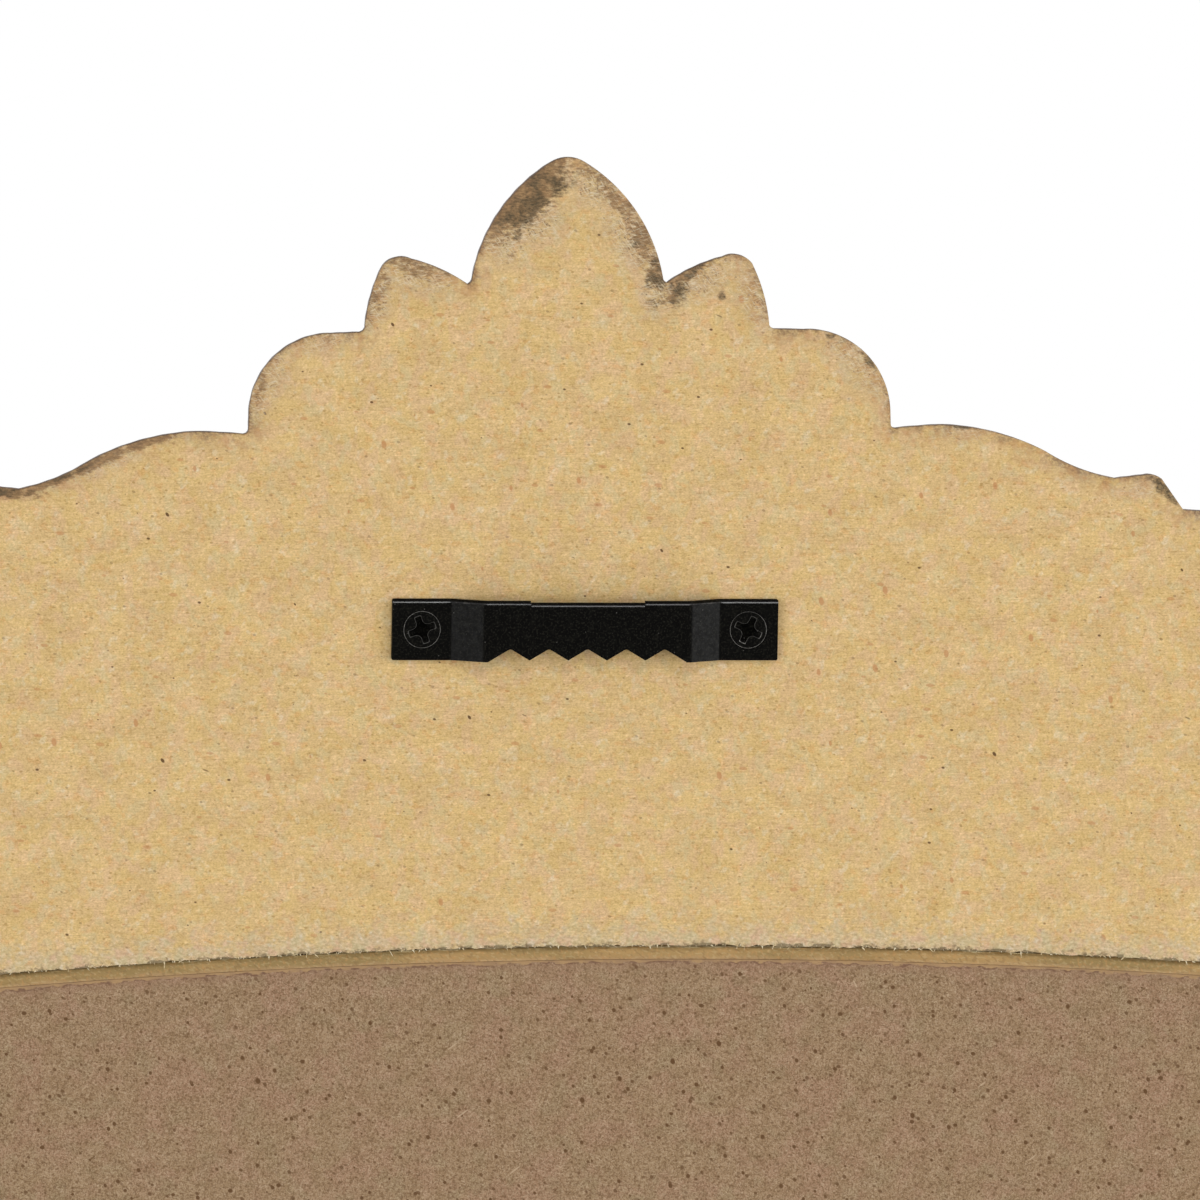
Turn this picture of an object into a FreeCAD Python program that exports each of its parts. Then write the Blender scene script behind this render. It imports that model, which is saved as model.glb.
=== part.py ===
import FreeCAD
import Part

import math
import os

# A wall mirror in a carved fibreboard frame, seen in the photograph from behind.
# Millimetres. +Z is up, the glass faces -Y, and the wall is the plane y = 0.
# The origin is the middle notch of the hanger, where the nail bears.
# A depth is a distance in front of the frame's back, and an inset one inside its outline.

# Overall size
overall_width = 610.0
overall_height = 914.0
# The hanger was screwed on by hand, a little off the centre line and out of level
centre_offset = 2.4
hanger_tilt_deg = -0.7
# Overrun of every cutting tool past the face it starts from
overrun = 1.0

# Frame band, seen from behind
band_width = 74.4
head_radius = 1350.0
rebate_below_nail = 49.4
sight_corner_radius = 11.0

# Crest above the head
crest_half_width = 101.5
crest_height = 58.6
# The middle lobes stand this far off the frame's centre line. The lean is whole up to the
# first share of the half width and gone past the second.
crest_lean = 0.6
crest_lean_shares = (0.34, 0.52)
crest_root = 18.0
crest_plate_thickness = 11.0
crest_edge_height = 1.2
crest_round_height = 7.0
crest_round_draw_in = 1.8
crest_draw_in = 4.5

# Carving on the front of the crest
carving_seat = 6.0
petal_edge = 12.0
scroll_radius = 10.0
scroll_ring_width = 2.6
scroll_ring_bevel = 1.4
scroll_ring_height = 16.5
scroll_groove_width = 1.0
scroll_groove_height = 12.5
scroll_button_bevel = 2.0
scroll_button_height = 18.5

# Rebates cut in the back
panel_gap = 2.3
panel_bearing = 6.4
lip_width = 6.0
panel_recess = 0.5

# Sheet goods
panel_thickness = 3.0
glass_thickness = 3.0
glass_clearance = 0.8
tape_thickness = 1.0
tape_width = 12.0
tape_inset = 14.0
tape_shortfall = 40.0
glue_film = 0.3
glue_below_back = 1.3
glue_inner_margin = 0.8

# Moulding of the front, from the outer edge to the sight edge
edge_height = 1.5
rim_width = 6.0
rim_height = 14.0
rim_bevel = 3.5
quirk_width = 2.5
quirk_height = 11.5
field_height = 21.0
fillet_width = 3.0
fillet_height = 13.5
cove_width = 22.0
cove_sag = 3.2
sight_height = 12.0
bead_setback = 2.8
bead_width = 6.4
bead_height = 14.5
bead_bevel = 1.8
sight_flat_width = 4.4

# Joinery
stile_stub = 26.0
dowel_radius = 3.0
dowel_length = 30.0
dowel_depth = 6.5
dowel_clearance = 0.05
dowel_hole_slack = 1.0
dowel_place_shares = (0.3, 0.6)

# Sawtooth hanger
hanger_length = 63.5
hanger_height = 10.0
hanger_sheet = 1.0
hanger_rise = 3.0
hanger_foot_length = 9.9
hanger_ramp_length = 5.1
hanger_bend_radius = 0.8
hanger_corner_radius = 0.25
notch_count = 5
notch_pitch = 6.35
notch_depth = 2.2
tooth_height = 1.9
notch_round = 0.6
tooth_round = 0.25
relief_width = 18.8
relief_depth = 0.3

# Countersunk screws
screw_spacing = 53.7
screw_head_radius = 3.1
screw_shank_radius = 1.6
screw_length = 12.0
screw_point_length = 3.5
screw_clearance = 0.05
screw_hole_slack = 1.0
recess_width = 4.6
recess_slot = 1.05
recess_corner_radius = 0.9
recess_depth = 1.5
recess_floor_radius = 0.7
recess_turns_deg = (20.0, 65.0)

# Worked out from the above
half_width = overall_width / 2
back_y = -(hanger_rise + hanger_sheet)
rim_radius = head_radius + band_width
head_centre_z = -rebate_below_nail - head_radius
ledge_width = panel_gap + panel_bearing
front_width = band_width + ledge_width + lip_width
bead_end = front_width - sight_flat_width
bead_start = bead_end - bead_width
cove_end = bead_start - bead_setback
cove_start = cove_end - cove_width
field_start = rim_width + quirk_width
field_end = cove_start - fillet_width
ledge_depth = panel_recess + panel_thickness + glue_film
pocket_depth = ledge_depth - glue_film + tape_thickness + glass_thickness
panel_edge = band_width + panel_gap
glass_edge = band_width + ledge_width + glass_clearance
shoulder_radius = front_width + sight_corner_radius
shoulder_x = half_width - shoulder_radius
shoulder_z = head_centre_z + math.sqrt((rim_radius - shoulder_radius) ** 2 - shoulder_x ** 2)
shoulder_angle = math.degrees(math.atan2(shoulder_z - head_centre_z, shoulder_x))
crest_foot_z = head_centre_z + math.sqrt(rim_radius ** 2 - crest_half_width ** 2)
crest_foot_angle = math.asin(crest_half_width / rim_radius)
bottom_z = crest_foot_z + crest_height - overall_height
joint_z = shoulder_z - stile_stub
hanger_bottom_z = -notch_depth
screw_z = hanger_bottom_z + hanger_height / 2
foot_y = back_y + hanger_sheet

# Right half of the crest's outline, seen from the front: steps from the apex to the foot.
# A step is an end point, or a point on an arc and then its end point.
# The numbers are shares of crest_half_width across and of crest_height up from the foot.
crest_step_shares = [
    ((0.0133, 0.997), (0.0259, 0.988)),
    ((0.1159, 0.836), (0.1540, 0.667)),
    ((0.1562, 0.655), (0.1610, 0.649)),
    ((0.2075, 0.694), (0.2512, 0.720)),
    ((0.2771, 0.7253), (0.2990, 0.7014)),
    ((0.3163, 0.626), (0.3266, 0.539)),
    ((0.3284, 0.525), (0.3350, 0.518)),
    ((0.3823, 0.5154),),
    ((0.4813, 0.4454), (0.5192, 0.2858)),
    ((0.5197, 0.2526),),
    ((0.5216, 0.2410), (0.5281, 0.2372)),
    ((0.5636, 0.2423), (0.6030, 0.2457)),
    ((0.6936, 0.2218), (0.7744, 0.1672)),
    ((0.8394, 0.1126), (0.8877, 0.0904)),
    ((0.9335, 0.0990),),
    ((0.9498, 0.0990), (0.9645, 0.0870)),
    ((1.0, 0.0),),
]
# Petals of the carving: base, tip and width, in the same shares
centre_petal_shares = ((0.0, 0.1), (0.0, 0.95), 0.22)
side_petal_shares = [
    ((0.075, 0.12), (0.285, 0.685), 0.13),
    ((0.15, 0.09), (0.285, 0.4), 0.085),
    ((0.52, 0.155), (0.9, 0.035), 0.075),
    ((0.9, 0.03), (0.975, 0.06), 0.035),
]
scroll_centre_shares = (0.4, 0.3)


def vector(x, y, z):
    return FreeCAD.Vector(x, y, z)


def depth_y(depth):
    """The y of a point at this depth."""
    return back_y - depth


def outline(start, steps):
    """A wire from start through steps, each an end point, or an arc's middle and end points."""
    edges = []
    for step in steps:
        if len(step) == 1:
            edges.append(Part.LineSegment(start, step[0]).toShape())
        else:
            edges.append(Part.Arc(start, step[0], step[1]).toShape())
        start = step[-1]
    return Part.Wire(edges)


def plate(wire, thickness):
    """A plate with this outline and its thickness towards the front."""
    return Part.Face(wire).extrude(vector(0, -thickness, 0))


def mirrored(shape):
    return shape.mirror(vector(0, 0, 0), vector(1, 0, 0))


def centred(shape):
    """A frame piece moved from the plane x = 0 to the frame's own centre line."""
    return shape.translated(vector(centre_offset, 0, 0))


def fused(shapes):
    return shapes[0].fuse(shapes[1:]).removeSplitter()


def edges_at(shape, places, reach):
    """The edges whose middle lies within reach of one of these places."""
    found = []
    for edge in shape.Edges:
        if any(edge.CenterOfMass.distanceToPoint(place) < reach for place in places):
            found.append(edge)
    return found


def both_sides(x, y, z):
    return [vector(x, y, z), vector(-x, y, z)]


def ring_outline(inset, depth):
    """The frame's closed outline, without the crest, moved in by inset."""
    y = depth_y(depth)
    side = half_width - inset
    corner = shoulder_radius - inset
    turn = math.radians(shoulder_angle)
    end_x = shoulder_x + corner * math.cos(turn)
    end_z = shoulder_z + corner * math.sin(turn)
    mid_x = shoulder_x + corner * math.cos(turn / 2)
    mid_z = shoulder_z + corner * math.sin(turn / 2)
    low_z = bottom_z + inset
    return outline(
        vector(-side, y, low_z),
        [
            (vector(side, y, low_z),),
            (vector(side, y, shoulder_z),),
            (vector(mid_x, y, mid_z), vector(end_x, y, end_z)),
            (vector(0, y, head_centre_z + rim_radius - inset), vector(-end_x, y, end_z)),
            (vector(-mid_x, y, mid_z), vector(-side, y, shoulder_z)),
            (vector(-side, y, low_z),),
        ],
    )


def ring_plate(inset, depth, thickness):
    """A plate of the frame's outline moved in by inset, from depth towards the front."""
    return plate(ring_outline(inset, depth), thickness)


def moulding_section(place):
    """The frame's closed cross-section: place turns (inset, depth) into a point."""
    ledge_end = band_width + ledge_width
    cove_floor = (fillet_height + sight_height) / 2 - cove_sag
    return outline(
        place(0, 0),
        [
            (place(band_width, 0),),
            (place(band_width, ledge_depth),),
            (place(ledge_end, ledge_depth),),
            (place(ledge_end, pocket_depth),),
            (place(front_width, pocket_depth),),
            (place(front_width, sight_height),),
            (place(bead_end, sight_height),),
            (place(bead_end - bead_bevel, bead_height),),
            (place(bead_start + bead_bevel, bead_height),),
            (place(bead_start, sight_height),),
            (place(cove_end, sight_height),),
            (place((cove_start + cove_end) / 2, cove_floor), place(cove_start, fillet_height)),
            (place(field_end, fillet_height),),
            (place(field_end, quirk_height),),
            (place((field_start + field_end) / 2, field_height), place(field_start, quirk_height)),
            (place(rim_width, quirk_height),),
            (place(rim_width, rim_height),),
            (place(rim_bevel, rim_height),),
            (place(0, edge_height),),
            (place(0, 0),),
        ],
    )


def turned_band(centre_x, centre_z, radius, start_deg, sweep_deg):
    """A length of the moulding turned about an axis along Y."""
    start = math.radians(start_deg)

    def place(inset, depth):
        reach = radius - inset
        x = centre_x + reach * math.cos(start)
        return vector(x, depth_y(depth), centre_z + reach * math.sin(start))

    section = Part.Face(moulding_section(place))
    return section.revolve(vector(centre_x, 0, centre_z), vector(0, -1, 0), sweep_deg)


def side_band(low_z, high_z):
    """A straight length of the right-hand moulding."""

    def place(inset, depth):
        return vector(half_width - inset, depth_y(depth), low_z)

    return Part.Face(moulding_section(place)).extrude(vector(0, 0, high_z - low_z))


def bottom_band():
    """The bottom moulding over the whole width, before it is mitred."""

    def place(inset, depth):
        return vector(-half_width, depth_y(depth), bottom_z + inset)

    return Part.Face(moulding_section(place)).extrude(vector(overall_width, 0, 0))


def mitre_block(points):
    """A block over the whole thickness with this outline in front view."""
    corners = [vector(x, back_y + overrun, z) for x, z in points]
    wire = Part.makePolygon(corners + corners[:1])
    return plate(wire, field_height + overrun + overrun)


def crest_point(shares, depth, draw_in=0):
    """A point of the crest from its shares of the crest's half width and height."""
    full_share, none_share = crest_lean_shares
    lean_share = (none_share - abs(shares[0])) / (none_share - full_share)
    x = (crest_half_width - draw_in) * shares[0] + crest_lean * min(1, max(0, lean_share))
    z = crest_foot_z + (crest_height - draw_in) * shares[1]
    return vector(x, depth_y(depth), z)


def crest_outline(depth, draw_in):
    """The crest's closed outline, its root in the band included, drawn in by draw_in."""
    apex = crest_point((0, 1), depth, draw_in)
    halves = []
    for side in (-1, 1):
        steps = []
        for step in crest_step_shares:
            steps.append(tuple(crest_point((side * share, rise), depth, draw_in) for share, rise in step))
        halves += outline(apex, steps).Edges
    foot = steps[-1][-1]
    root_radius = rim_radius - crest_root
    root_x = root_radius * math.sin(crest_foot_angle)
    root_z = head_centre_z + root_radius * math.cos(crest_foot_angle)
    root_top = vector(0, foot.y, head_centre_z + root_radius)
    root_left = vector(-root_x, foot.y, root_z)
    foot_left = vector(-foot.x, foot.y, foot.z)
    under = outline(foot, [(vector(root_x, foot.y, root_z),), (root_top, root_left), (foot_left,)])
    return Part.Wire(Part.sortEdges(halves + under.Edges)[0])


def crest_plate():
    """The flat crest with its scalloped outline, rounded over to the front in two bevels."""
    back = plate(crest_outline(0, 0), crest_edge_height)
    levels = [
        crest_outline(crest_edge_height, 0),
        crest_outline(crest_round_height, crest_round_draw_in),
        crest_outline(crest_plate_thickness, crest_draw_in),
    ]
    bevels = [Part.makeLoft(list(pair), True, True) for pair in zip(levels, levels[1:])]
    return fused([back] + bevels)


def petal(base_shares, tip_shares, width_share):
    """A pointed oval of the carving, domed along and across."""
    base = crest_point(base_shares, carving_seat)
    tip = crest_point(tip_shares, carving_seat)
    along = tip.sub(base)
    half_length = along.Length / 2
    half_wide = crest_half_width * width_share / 2
    middle = base.add(tip).multiply(0.5)
    side = vector(-along.z, 0, along.x).normalize().multiply(half_wide)
    wire = outline(base, [(middle.add(side), tip), (middle.sub(side), base)])
    barrel_radius = math.hypot(petal_edge - carving_seat, half_wide)
    rise = carving_seat + barrel_radius - petal_edge
    dome_radius = (half_length ** 2 + rise ** 2) / (rise + rise)
    dome_centre = vector(middle.x, depth_y(carving_seat + barrel_radius) + dome_radius, middle.z)
    dome = Part.makeSphere(dome_radius, dome_centre)
    barrel = Part.makeCylinder(barrel_radius, along.Length, base, along)
    return plate(wire, barrel_radius).common(barrel).common(dome)


def scroll_eye(side):
    """The turned eye of one side's scroll: a button in a groove inside a bevelled ring."""
    share, rise = scroll_centre_shares
    centre = crest_point((side * share, rise), 0)
    ring_start = scroll_radius - scroll_ring_width - scroll_ring_bevel - scroll_ring_bevel
    button_radius = ring_start - scroll_groove_width
    profile = [
        (0, carving_seat),
        (0, scroll_button_height),
        (button_radius - scroll_button_bevel, scroll_button_height),
        (button_radius, scroll_groove_height),
        (ring_start, scroll_groove_height),
        (ring_start + scroll_ring_bevel, scroll_ring_height),
        (scroll_radius - scroll_ring_bevel, scroll_ring_height),
        (scroll_radius, scroll_groove_height),
        (scroll_radius, carving_seat),
    ]
    corners = [vector(centre.x + reach, depth_y(depth), centre.z) for reach, depth in profile]
    section = Part.Face(Part.makePolygon(corners + corners[:1]))
    return section.revolve(centre, vector(0, -1, 0), 360)


def crest_carving():
    """The raised carving: a centre petal, and petals and a scroll eye on each side."""
    pieces = [petal(*centre_petal_shares)]
    for side in (1, -1):
        for base, tip, width_share in side_petal_shares:
            pieces.append(petal((side * base[0], base[1]), (side * tip[0], tip[1]), width_share))
        pieces.append(scroll_eye(side))
    return pieces


def dowel_place(share, corner):
    """Where the dowel at this share of the band crosses a right-hand joint, and its direction."""
    inset = band_width * share
    if corner == "mitre":
        start = vector(half_width - inset, depth_y(dowel_depth), bottom_z + inset)
        return start, vector(1, 0, 1).normalize()
    return vector(half_width - inset, depth_y(dowel_depth), joint_z), vector(0, 0, 1)


def round_bar(middle, direction, radius, length):
    """A cylinder centred on middle."""
    start = middle.sub(vector(*direction).multiply(length / 2))
    return Part.makeCylinder(radius, length, start, direction)


def joint_dowels(corner):
    """The two dowels of a right-hand joint."""
    places = [dowel_place(share, corner) for share in dowel_place_shares]
    return Part.makeCompound([round_bar(*place, dowel_radius, dowel_length) for place in places])


def joint_holes(corner):
    """The holes for the two dowels of a right-hand joint, a little deeper and wider."""
    radius = dowel_radius + dowel_clearance
    length = dowel_length + dowel_hole_slack
    places = [dowel_place(share, corner) for share in dowel_place_shares]
    return [round_bar(*place, radius, length) for place in places]


def make_head_rail():
    """The arched top member with its shoulders, crest, carving and holes."""
    shoulder = turned_band(shoulder_x, shoulder_z, shoulder_radius, 0, shoulder_angle)
    stub = side_band(joint_z, shoulder_z)
    head = turned_band(0, head_centre_z, rim_radius, shoulder_angle, 180 - 2 * shoulder_angle)
    band = fused([head, shoulder, stub, mirrored(shoulder), mirrored(stub)])
    rail = fused([band, crest_plate()] + crest_carving())
    holes = joint_holes("shoulder")
    rail = rail.cut(holes + [mirrored(hole) for hole in holes])
    return centred(rail).cut([hanger_level(screw_hole(side)) for side in (-1, 1)])


def make_right_stile():
    """The right-hand member, from the joint under the shoulder to the bottom mitre."""
    inner_x = half_width - front_width - overrun
    outer_x = half_width + overrun
    corners = [
        (outer_x, joint_z),
        (inner_x, joint_z),
        (inner_x, bottom_z + front_width + overrun),
        (outer_x, bottom_z - overrun),
    ]
    stile = side_band(bottom_z, joint_z).common(mitre_block(corners))
    return stile.cut(joint_holes("shoulder") + joint_holes("mitre"))


def make_bottom_rail():
    """The bottom member between its two mitres."""
    inner_x = half_width - front_width - overrun
    outer_x = half_width + overrun
    inner_z = bottom_z + front_width + overrun
    outer_z = bottom_z - overrun
    corners = [(-outer_x, outer_z), (outer_x, outer_z), (inner_x, inner_z), (-inner_x, inner_z)]
    holes = joint_holes("mitre")
    rail = bottom_band().common(mitre_block(corners))
    return centred(rail.cut(holes + [mirrored(hole) for hole in holes]))


def make_panel_glue():
    """The bead round the panel: a film under its edge and a fillet in the gap beside it."""
    fill = ring_plate(band_width, glue_below_back, ledge_depth - glue_below_back)
    panel_space = ring_plate(panel_edge, panel_recess, panel_thickness)
    inner_edge = band_width + ledge_width - glue_inner_margin
    return centred(fill.cut([panel_space, ring_plate(inner_edge, panel_recess, ledge_depth)]))


def tape_strip(centre_x, centre_z, width, height):
    """A strip of foam tape between the glass and the panel."""
    depth = panel_recess + panel_thickness
    corner = vector(centre_x - width / 2, depth_y(depth + tape_thickness), centre_z - height / 2)
    return Part.makeBox(width, tape_thickness, height, corner)


def make_glass_tape():
    """Four strips along the edges of the glass."""
    side_x = half_width - glass_edge - tape_inset
    low_z = bottom_z + glass_edge + tape_inset
    corner_z = shoulder_z + (shoulder_radius - glass_edge) * math.sin(math.radians(shoulder_angle))
    high_z = corner_z - tape_inset
    middle_z = (low_z + high_z) / 2
    across = side_x + side_x - tape_shortfall
    upright = high_z - low_z - tape_shortfall
    return centred(
        Part.makeCompound(
            [
                tape_strip(-side_x, middle_z, tape_width, upright),
                tape_strip(side_x, middle_z, tape_width, upright),
                tape_strip(0, low_z, across, tape_width),
                tape_strip(0, high_z, across, tape_width),
            ]
        )
    )


def hanger_level(shape):
    """Turn a hanger piece about the nail to the angle it was screwed on at."""
    return shape.rotated(vector(0, 0, 0), vector(0, 1, 0), hanger_tilt_deg)


def hanger_strip():
    """The bent strip of the hanger before its teeth and holes are cut."""
    end_x = hanger_length / 2
    foot_x = end_x - hanger_foot_length
    raised_x = foot_x - hanger_ramp_length
    raised_y = back_y + hanger_rise
    shift = hanger_sheet * math.tan(math.atan2(hanger_rise, hanger_ramp_length) / 2)
    right = [
        (raised_x, raised_y),
        (foot_x, back_y),
        (end_x, back_y),
        (end_x, foot_y),
        (foot_x + shift, foot_y),
        (raised_x + shift, raised_y + hanger_sheet),
    ]
    left = [(-x, y) for x, y in reversed(right)]
    corners = [vector(x, y, hanger_bottom_z) for x, y in right + left]
    strip = Part.Face(Part.makePolygon(corners + corners[:1])).extrude(vector(0, 0, hanger_height))
    reach = hanger_sheet / 4
    hollow = both_sides(foot_x + shift, foot_y, screw_z) + both_sides(raised_x, raised_y, screw_z)
    strip = strip.makeFillet(hanger_bend_radius, edges_at(strip, hollow, reach))
    crown = both_sides(foot_x, back_y, screw_z) + both_sides(raised_x + shift, 0, screw_z)
    strip = strip.makeFillet(hanger_bend_radius + hanger_sheet, edges_at(strip, crown, reach))
    tip_y = back_y + hanger_sheet / 2
    tips = both_sides(end_x, tip_y, hanger_bottom_z)
    tips += both_sides(end_x, tip_y, hanger_bottom_z + hanger_height)
    return strip.makeFillet(hanger_corner_radius, edges_at(strip, tips, reach))


def tooth_points():
    """The notch tops and the tooth tips between them along the lower edge, left to right."""
    half_reach = notch_pitch * (notch_count - 1) / 2
    notches = [(index * notch_pitch - half_reach, 0) for index in range(notch_count)]
    tips = [(x + notch_pitch / 2, -tooth_height) for x, z in notches[:-1]]
    return notches, tips


def tooth_cutter():
    """What is cut from the lower edge to leave the notches and teeth."""
    notches, tips = tooth_points()
    below = hanger_bottom_z - overrun
    end_x = notches[-1][0] - below * notch_pitch / 2 / tooth_height
    points = [(-end_x, below)] + sorted(notches + tips) + [(end_x, below)]
    corners = [vector(x, overrun, z) for x, z in points]
    wire = Part.makePolygon(corners + corners[:1])
    return plate(wire, hanger_rise + hanger_sheet + overrun + overrun)


def top_relief():
    """The shallow step in the hanger's top edge."""
    top_z = hanger_bottom_z + hanger_height
    corner = vector(-relief_width / 2, back_y, top_z - relief_depth)
    return Part.makeBox(relief_width, hanger_rise + hanger_sheet + overrun, relief_depth + overrun, corner)


def turned_screw(side, profile):
    """A body turned about a screw's axis: profile holds (radius, distance below the head's face)."""
    x = side * screw_spacing / 2
    corners = [vector(x + reach, foot_y - below, screw_z) for reach, below in profile]
    section = Part.Face(Part.makePolygon(corners + corners[:1]))
    return section.revolve(vector(x, foot_y, screw_z), vector(0, -1, 0), 360)


def screw_hole(side):
    """The countersunk pilot hole for a screw through the hanger and into the rail."""
    head = screw_head_radius + screw_clearance
    shank = screw_shank_radius + screw_clearance
    length = screw_length + screw_hole_slack
    cone = [(head, -overrun), (head, 0), (shank, head - shank)]
    return turned_screw(side, [(0, -overrun)] + cone + [(shank, length), (0, length)])


def screw_body(side):
    """The countersunk head, shank and point of a screw."""
    shank_start = screw_head_radius - screw_shank_radius
    profile = [
        (0, 0),
        (screw_head_radius, 0),
        (screw_shank_radius, shank_start),
        (screw_shank_radius, screw_length - screw_point_length),
        (0, screw_length),
    ]
    return turned_screw(side, profile)


def cross_recess(side, turn_deg):
    """The cross recess in a screw's head, rounded between its arms and narrowing towards its floor."""
    x = side * screw_spacing / 2
    top = vector(x, foot_y + overrun, screw_z)
    slots = []
    for width, height in ((recess_width, recess_slot), (recess_slot, recess_width)):
        corner = vector(x - width / 2, foot_y - recess_depth, screw_z - height / 2)
        slots.append(Part.makeBox(width, recess_depth + overrun, height, corner))
    arms = fused(slots)
    half_slot = recess_slot / 2
    middle_y = foot_y + (overrun - recess_depth) / 2
    offsets = (-half_slot, half_slot)
    turns = [vector(x + across, middle_y, screw_z + up) for across in offsets for up in offsets]
    arms = arms.makeFillet(recess_corner_radius, edges_at(arms, turns, half_slot / 2))
    cone_radius = recess_width / 2
    widening = (cone_radius - recess_floor_radius) * overrun / recess_depth
    cone = Part.makeCone(
        cone_radius + widening, recess_floor_radius, recess_depth + overrun, top, vector(0, -1, 0)
    )
    return arms.common(cone).rotated(top, vector(0, 1, 0), turn_deg)


def make_hanger_screw(side, turn_deg):
    """A countersunk wood screw with a cross recess."""
    return hanger_level(screw_body(side).cut(cross_recess(side, turn_deg)))


def make_hanger():
    """The toothed strip that hangs on the nail, screwed to the head rail."""
    holes = [screw_hole(side) for side in (-1, 1)]
    strip = hanger_strip().cut([tooth_cutter(), top_relief()] + holes)
    for corners, radius in zip(tooth_points(), (notch_round, tooth_round)):
        places = [vector(x, -hanger_sheet / 2, z) for x, z in corners]
        strip = strip.makeFillet(radius, edges_at(strip, places, tooth_round))
    return hanger_level(strip)


stile = make_right_stile()
pieces = {
    "head_rail": make_head_rail(),
    "right_stile": centred(stile),
    "left_stile": centred(mirrored(stile)),
    "bottom_rail": make_bottom_rail(),
    "back_panel": centred(ring_plate(panel_edge, panel_recess, panel_thickness)),
    "mirror_glass": centred(ring_plate(glass_edge, pocket_depth - glass_thickness, glass_thickness)),
    "panel_glue": make_panel_glue(),
    "glass_tape": make_glass_tape(),
    "right_shoulder_dowels": centred(joint_dowels("shoulder")),
    "left_shoulder_dowels": centred(mirrored(joint_dowels("shoulder"))),
    "right_mitre_dowels": centred(joint_dowels("mitre")),
    "left_mitre_dowels": centred(mirrored(joint_dowels("mitre"))),
    "sawtooth_hanger": make_hanger(),
    "hanger_screw_right": make_hanger_screw(1, recess_turns_deg[0]),
    "hanger_screw_left": make_hanger_screw(-1, recess_turns_deg[1]),
}

os.makedirs("parts", exist_ok=True)
for name, shape in pieces.items():
    solids = shape.Solids
    volume = round(sum(solid.Volume for solid in solids))
    print(name, "solids:", len(solids), "valid:", shape.isValid(), "cubic mm:", volume)
    if len(solids) == 1:
        shape = solids[0]
    shape.exportStep("parts/" + name + ".step")
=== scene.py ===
import math
from functools import cached_property, partialmethod
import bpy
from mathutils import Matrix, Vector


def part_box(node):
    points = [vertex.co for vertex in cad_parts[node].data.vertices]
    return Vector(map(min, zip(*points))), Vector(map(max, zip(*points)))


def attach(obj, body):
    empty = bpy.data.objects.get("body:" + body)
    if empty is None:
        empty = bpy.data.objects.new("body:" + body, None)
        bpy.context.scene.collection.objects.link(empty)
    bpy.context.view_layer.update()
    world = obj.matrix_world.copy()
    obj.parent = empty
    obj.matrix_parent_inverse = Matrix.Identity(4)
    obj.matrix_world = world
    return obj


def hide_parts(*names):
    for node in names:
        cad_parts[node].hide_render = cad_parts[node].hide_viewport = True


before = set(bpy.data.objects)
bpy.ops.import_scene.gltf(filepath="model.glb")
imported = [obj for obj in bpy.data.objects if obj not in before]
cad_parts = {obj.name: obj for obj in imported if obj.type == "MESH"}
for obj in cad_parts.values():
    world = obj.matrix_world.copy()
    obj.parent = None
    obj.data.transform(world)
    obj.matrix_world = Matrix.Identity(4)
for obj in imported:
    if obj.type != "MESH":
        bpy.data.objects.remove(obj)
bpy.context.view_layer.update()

from types import SimpleNamespace

import bmesh
import bpy
import numpy as np
from bpy.props import FloatProperty, FloatVectorProperty, PointerProperty
from mathutils import Matrix, Vector

bl_info = {
    "name": "Framed mirror",
    "version": (1, 0, 0),
    "blender": (4, 5, 0),
    "location": "3D View > Sidebar > Mirror",
    "description": "Dresses a wall mirror: moulded frame with a carved crest, panel, glue, glass and hanger",
    "category": "Object",
}

BODY = "root"
SEED = 7
MM = 0.001
TINY = 1e-7
# Turns a place in the plane of the back from one side of the mirror to the other
FLIP = np.array([-1, 1])

# Outline of the right half of the crest from its apex to its foot, in shares of its half width
# and of its height. A step is an end point, or a point on an arc and then its end point.
CREST_STEP_SHARES = (
    ((0.0133, 0.997), (0.0259, 0.988)),
    ((0.1159, 0.836), (0.1540, 0.667)),
    ((0.1562, 0.655), (0.1610, 0.649)),
    ((0.2075, 0.694), (0.2512, 0.720)),
    ((0.2771, 0.7253), (0.2990, 0.7014)),
    ((0.3163, 0.626), (0.3266, 0.539)),
    ((0.3284, 0.525), (0.3350, 0.518)),
    ((0.3823, 0.5154),),
    ((0.4813, 0.4454), (0.5192, 0.2858)),
    ((0.5197, 0.2526),),
    ((0.5216, 0.2410), (0.5281, 0.2372)),
    ((0.5636, 0.2423), (0.6030, 0.2457)),
    ((0.6936, 0.2218), (0.7744, 0.1672)),
    ((0.8394, 0.1126), (0.8877, 0.0904)),
    ((0.9335, 0.0990),),
    ((0.9498, 0.0990), (0.9645, 0.0870)),
    ((1.0, 0.0),),
)
# Petals of the carving: base, tip, width and how far the tip curls sideways, in the same shares
PETAL_SHARES = (
    ((0.0, 0.1), (0.0, 0.95), 0.22, 0.0),
    ((0.075, 0.12), (0.285, 0.685), 0.13, 0.03),
    ((0.15, 0.09), (0.285, 0.4), 0.085, 0.02),
    ((0.52, 0.155), (0.9, 0.035), 0.075, 0.02),
    ((0.9, 0.03), (0.975, 0.06), 0.035, 0.0),
)
SCROLL_CENTRE_SHARES = (0.4, 0.3)
# The crest's lean is whole up to the first share of its half width and gone past the second
CREST_LEAN_SHARES = (0.34, 0.52)

SIGHT_DEPTH = 12.0 * MM
SIGHT_EASING = 0.5 * MM
RIM_TOP = 14.0 * MM
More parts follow.
